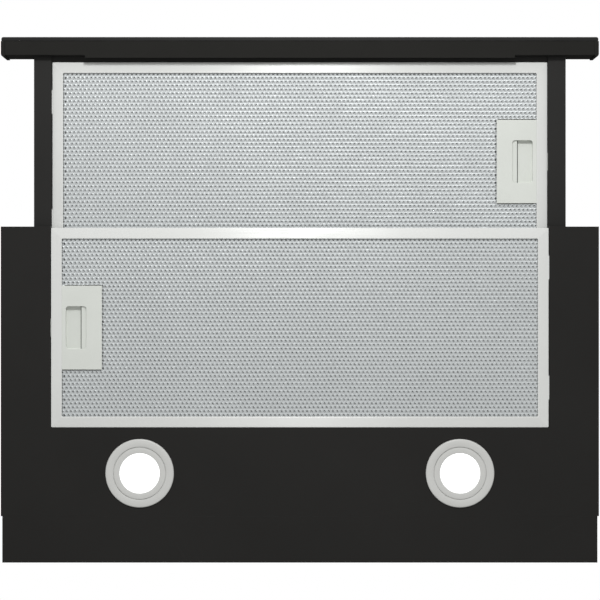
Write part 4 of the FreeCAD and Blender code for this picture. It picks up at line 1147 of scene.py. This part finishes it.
class HOOD_OT_blower(Operator):
    """Scroll with its bell mouth, bladed drum, motor and capacitor"""

    bl_idname = "hood.blower"
    bl_label = "Blower"

    def execute(self, context):
        own = sizes()
        for node in ("scroll_left_side", "scroll_right_side", "scroll_wrap"):
            dress(node, "black_plastic", width=0.0003)
        middle = axle()
        mouth = lathe("blower_bell_mouth", middle, in_mm([
            (40.1, -47.4), (40.5, -48.8), (41.8, -50.0), (44.4, -50.9), (48.6, -51.2), (49.2, -50.9),
            (49.0, -50.5), (45.0, -50.1), (42.8, -49.3), (41.6, -48.3), (41.2, -47.4),
        ]), turns=96, axis="X")
        settle(mouth, "black_plastic", "scroll_left_side")

        for side, name in ((1.0, "right"), (-1.0, "left")):
            turned_part(f"impeller_{name}_ring", "impeller", "black_plastic", middle, [
                (radius, side * along) for radius, along in (
                    (39.2, 43.2), (39.0, 43.6), (39.2, 44.0), (47.5, 44.0), (47.9, 43.8),
                    (48.0, 43.4), (48.0, 41.6), (47.6, 41.4), (47.4, 41.6), (47.4, 43.2),
                )
            ], turns=96, axis="X")
        turned_part("impeller_web", "impeller", "black_plastic", middle, [
            (4.05, -12.0), (8.5, -12.0), (9.0, -11.5), (9.0, -3.0), (9.6, -1.7), (11.0, -1.0), (20.0, -0.8),
            (22.0, -0.8), (23.0, -1.5), (34.0, -1.5), (35.0, -0.8), (48.0, -0.8), (48.0, 0.8), (35.4, 0.8),
            (34.4, 0.1), (22.6, 0.1), (21.6, 0.8), (4.05, 0.8),
        ], turns=96, axis="X")
        section = in_mm(blade_section(root=39.2, tip=47.5, lean=4.2, thick=0.8))
        blade = stacked("blade", [[(along, across, radius) for across, radius in section]
                                  for along in (-0.0435, -0.0008, 0.0435)])
        places = [(middle, (math.tau * step / own.blades, 0.0, 0.0)) for step in range(own.blades)]
        set_out("impeller_blades", blade, places, 1.0, "black_plastic", "impeller",
                ("impeller",))

        stack = []
        for sheet in range(CASING_SHEETS):
            foot = 22.6 + 1.75 * sheet
            stack += [(33.0, foot), (33.0, foot + 1.15), (32.4, foot + 1.3), (32.4, foot + 1.6)]
        turned_part("motor_casing", "motor_body", "motor_metal", middle, [
            (0.0, 13.0), (4.1, 13.0), (4.1, 7.3), (4.5, 7.0), (10.6, 7.0), (11.3, 7.4), (11.8, 9.4),
            (13.6, 10.4), (24.0, 11.2), (27.5, 12.2), (30.2, 14.0), (31.4, 16.5), (31.6, 22.2),
            *stack, (31.6, 57.8), (31.6, 65.0), (31.0, 68.6), (28.8, 71.0), (25.0, 72.0), (14.5, 72.3),
            (13.6, 73.0), (4.2, 73.0), (3.6, 72.2), (0.0, 72.2),
        ], turns=96, axis="X")
        dress("motor_shaft", "screw_steel", width=0.0003)
        seat = centre_of("capacitor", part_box("capacitor")[0][2])
        turned_part("capacitor_can", "capacitor", "white_plastic", seat, [
            (0.0, 0.0), (14.3, 0.0), (15.0, 0.7), (15.0, 44.6), (14.5, 45.0), (14.5, 45.6), (15.0, 46.1),
            (15.0, 47.2), (14.6, 47.8), (13.8, 48.0), (13.2, 47.6), (13.0, 46.9), (4.6, 46.9), (4.2, 47.6),
            (2.5, 47.8), (2.5, 54.5), (2.1, 55.0), (0.0, 55.0),
        ])
        return {"FINISHED"}


class HOOD_OT_outlet(Operator):
    """Exhaust collar with its ribs and bead, and its two flaps"""

    bl_idname = "hood.outlet"
    bl_label = "Exhaust Outlet"

    def execute(self, context):
        node = "exhaust_collar"
        for dressed in (node, "flap_front", "flap_rear"):
            dress(dressed, "black_plastic", width=0.0004)
        middle = centre_of(node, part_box(node)[0][2])
        bead = lathe("exhaust_collar_bead", middle, in_mm([
            (59.6, 19.4), (60.9, 19.8), (61.3, 20.5), (61.3, 21.3), (60.9, 22.0), (59.6, 22.4),
        ]), turns=120)
        settle(bead, "black_plastic", node)
        side = in_mm([
            (59.6, 1.8), (68.4, 1.8), (68.4, 2.6), (66.4, 4.2), (61.6, 15.6), (60.8, 16.4), (59.6, 16.4),
        ])
        rings = [[(radius, across, height) for radius, height in side] for across in (-0.0009, 0.0009)]
        turn = math.tau / COLLAR_RIBS
        places = [(middle, (0.0, 0.0, turn * (step + 0.5))) for step in range(COLLAR_RIBS)]
        set_out("exhaust_collar_ribs", stacked("rib", rings), places, 1.0, "black_plastic",
                node)
        return {"FINISHED"}


class HOOD_OT_electrics(Operator):
    """Terminal box, gland, lamp driver, switch and magnet"""

    bl_idname = "hood.electrics"
    bl_label = "Electrics"

    def execute(self, context):
        for node, material, edge in (
            ("terminal_box", "black_plastic", 0.0006), ("visor_switch", "black_plastic", 0.0006),
            ("lamp_driver", "white_plastic", 0.0008), ("visor_magnet", "magnet", 0.0004),
        ):
            dress(node, material, edge)
        seat = centre_of("cable_gland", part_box("cable_gland")[1][2] - 0.014)
        turned_part("cable_gland_nut", "cable_gland", "black_plastic", seat, [
            (4.0, 0.0), (10.3, 0.0), (11.0, 0.6), (11.0, 4.2), (10.1, 5.0), (4.0, 5.0),
        ], turns=6)
        thread = []
        for turn in range(GLAND_THREADS):
            foot = -7.6 + 0.84 * turn
            thread += [(7.25, foot), (7.8, foot + 0.3), (7.8, foot + 0.42), (7.25, foot + 0.72)]
        turned_part("cable_gland_cap", "cable_gland", "black_plastic", seat, [
            (4.0, -8.0), (7.0, -8.0), *thread, (7.6, 4.9), (8.3, 5.1), (8.9, 5.5), (8.9, 9.6), (8.6, 10.8),
            (7.9, 12.2), (6.9, 13.3), (5.6, 13.9), (4.4, 14.0), (4.0, 13.6), (3.6, 12.6), (3.6, 4.0),
            (4.0, 3.0),
        ], turns=96, flutes=(12, 0.0007, 0.0052, 0.0105))
        return {"FINISHED"}


class HOOD_OT_fittings(Operator):
    """Screws and pressed beads of the housing and the visor"""

    bl_idname = "hood.fittings"
    bl_label = "Screws and Beads"

    def execute(self, context):
        own = sizes()
        up, down, across, along = (0.0, 0.0, 1.0), (0.0, 0.0, -1.0), (1.0, 0.0, 0.0), (0.0, 1.0, 0.0)
        near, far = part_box("housing_top")
        top, margin, spacing = far[2], 0.0062, 0.125
        row = [step * spacing for step in (-2, -1, 0, 1, 2)]
        places = spots(row, (near[1] + margin, far[1] - margin), top, up, across)
        places += spots((near[0] + margin, far[0] - margin), (-0.062, 0.062), top, up, along)
        flange, circle = 0.002, 0.0652
        middle = centre_of("exhaust_collar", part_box("exhaust_collar")[0][2] + flange)
        for step in range(4):
            angle = math.pi * (0.25 + step / 2)
            place = middle + Vector((math.cos(angle), math.sin(angle), 0.0)) * circle
            places.append((place, facing(up, across)))
        low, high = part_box("terminal_box")
        margin = 0.006
        places += spots((low[0] + margin, high[0] - margin), (low[1] + margin, high[1] - margin),
                        low[2], down, across)
        for count, first, radius, face in ((3, 0.25, 0.0435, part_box("motor_bracket")[1][0]),
                                           (4, 0.125, 0.0255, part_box("motor_body")[1][0] - 0.0012)):
            for step in range(count):
                angle = math.tau * (first + step / count)
                place = axle() + Vector((face, radius * math.cos(angle), radius * math.sin(angle)))
                places.append((place, facing(across, along)))
        set_out("housing_screws", pan_head("head"), places, own.screw_head, "screw_steel",
                "housing_top")

        low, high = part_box("visor_top_sheet")
        side, end, middle, smaller = 0.007, 0.012, -0.22, 0.74
        places = spots((low[0] + side, high[0] - side), (low[1] + end, middle, high[1] - end),
                       high[2], up, across)
        set_out("visor_screws", pan_head("head"), places, own.screw_head * smaller, "screw_steel",
                "visor_top_sheet")

        ends = ((near[1], -1.0), (far[1], 1.0))
        sides = ((near[0], -1.0), (far[0], 1.0))
        for name, long, places in (
            ("top", 0.19, [((x, y, top), facing(up, across))
                           for x, y in ((-0.125, -0.108), (0.125, -0.108), (0.125, 0.108), (-0.080, 0.108))]),
            ("wall", 0.13, [((x, face, -0.073), facing((0.0, way, 0.0), across))
                            for x in (-0.17, 0.0, 0.17) for face, way in ends]),
            ("side", 0.17, [((face, 0.0, z), facing((way, 0.0, 0.0), along))
                            for z in (-0.050, -0.096) for face, way in sides]),
        ):
            bead = pressed_bead("bead", long, wide=0.014, rise=own.bead_rise)
            set_out(f"housing_{name}_beads", bead, places, 1.0, "galvanised", "housing_top")
        return {"FINISHED"}


# Stage


def seen_rays(tree):
    """One on the rays that show a surface: from the camera, by reflection or through a clear body."""
    rays = add(tree, "ShaderNodeLightPath").outputs
    seen = maths(tree, "MAXIMUM", rays["Is Camera Ray"], rays["Is Glossy Ray"])
    return maths(tree, "MAXIMUM", seen, rays["Is Transmission Ray"])


def area_light(name, place, aim, wide, tall, power):
    """A soft area light aimed at a point, unseen by the camera."""
    data = bpy.data.lights.new(name, "AREA")
    data.shape = "RECTANGLE"
    data.size = wide
    data.size_y = tall
    data.energy = power
    lamp = shown(name, data)
    lamp.location = place
    lamp.rotation_euler = (Vector(aim) - Vector(place)).to_track_quat("-Z", "Y").to_euler()
    lamp.visible_camera = False


class HOOD_OT_stage(Operator):
    """World, floor, lights and camera"""

    bl_idname = "hood.stage"
    bl_label = "Stage"

    def execute(self, context):
        scene = context.scene
        scene.world = bpy.data.worlds.new("Studio")
        scene.world.use_nodes = True
        tree = scene.world.node_tree
        soft = tree.nodes["Background"]
        put(tree, WHITE, soft.inputs["Color"])
        put(tree, SOFT_SKY, soft.inputs["Strength"])
        bright = add(tree, "ShaderNodeBackground", {"Color": WHITE, "Strength": SEEN_SKY})
        mix = add(tree, "ShaderNodeMixShader", {0: seen_rays(tree), 1: soft.outputs[0], 2: bright.outputs[0]})
        put(tree, mix.outputs[0], tree.nodes["World Output"].inputs["Surface"])

        work = bmesh.new()
        level = Matrix.Translation((0.0, 0.0, FLOOR_LEVEL))
        bmesh.ops.create_grid(work, x_segments=8, y_segments=8, size=FLOOR_SIZE, matrix=level)
        ground = shown("floor", mesh_of("floor", work))
        pale = Finish("Pale Floor", 0.9, level=0.1)
        glow = maths(pale.tree, "MULTIPLY", seen_rays(pale.tree), FLOOR_GLOW)
        pale.give(Base_Color=(0.86, 0.86, 0.85, 1.0), Emission_Color=WHITE, Emission_Strength=glow)
        ground.data.materials.append(pale.material)

        area_light("Key", (0.0, -0.86, -1.29), aim=(0.0, -0.1, -0.18), wide=0.12, tall=0.17, power=10.1)
        area_light("Top", (0.4, -0.8, 2.4), aim=(0.0, 0.0, 0.0), wide=2.0, tall=2.0, power=30.0)

        view = bpy.data.cameras.new("Photo Camera")
        view.lens = CAMERA_LENS
        view.sensor_width = CAMERA_SENSOR
        camera = shown("Photo Camera", view)
        camera.location = CAMERA_PLACE
        camera.rotation_euler = (math.pi, 0.0, 0.0)
        scene.camera = camera
        scene.view_settings.view_transform = "Standard"
        return {"FINISHED"}


class HOOD_PT_panel(Panel):
    """The hood's pieces, sizes and colours"""

    bl_label = "Range Hood"
    bl_idname = "HOOD_PT_panel"
    bl_space_type = "VIEW_3D"
    bl_region_type = "UI"
    bl_category = "Hood"

    def draw(self, context):
        layout = self.layout
        for piece in OPERATORS:
            layout.operator(piece.bl_idname)
        for group in (context.scene.hood_sizes, context.scene.hood_colours):
            box = layout.box()
            for name in group.__annotations__:
                box.prop(group, name)


OPERATORS = (
    HOOD_OT_sheets, HOOD_OT_filters, HOOD_OT_catches, HOOD_OT_lamps, HOOD_OT_front, HOOD_OT_slides,
    HOOD_OT_blower, HOOD_OT_outlet, HOOD_OT_electrics, HOOD_OT_fittings, HOOD_OT_stage,
)
CLASSES = (HoodSizes, HoodColours, *OPERATORS, HOOD_PT_panel)


def register():
    """Registers the classes and hangs the sizes and colours on the scene."""
    for item in CLASSES:
        bpy.utils.register_class(item)
    bpy.types.Scene.hood_sizes = PointerProperty(type=HoodSizes)
    bpy.types.Scene.hood_colours = PointerProperty(type=HoodColours)


def unregister():
    """Takes the classes away again."""
    del bpy.types.Scene.hood_colours
    del bpy.types.Scene.hood_sizes
    for item in reversed(CLASSES):
        bpy.utils.unregister_class(item)


def main():
    """Builds every piece."""
    register()
    build_groups()
    build_materials()
    build_trees()
    bpy.ops.hood.sheets()
    bpy.ops.hood.filters()
    bpy.ops.hood.catches()
    bpy.ops.hood.lamps()
    bpy.ops.hood.front()
    bpy.ops.hood.slides()
    bpy.ops.hood.blower()
    bpy.ops.hood.outlet()
    bpy.ops.hood.electrics()
    bpy.ops.hood.fittings()
    bpy.ops.hood.stage()


if __name__ == "__main__":
    main()
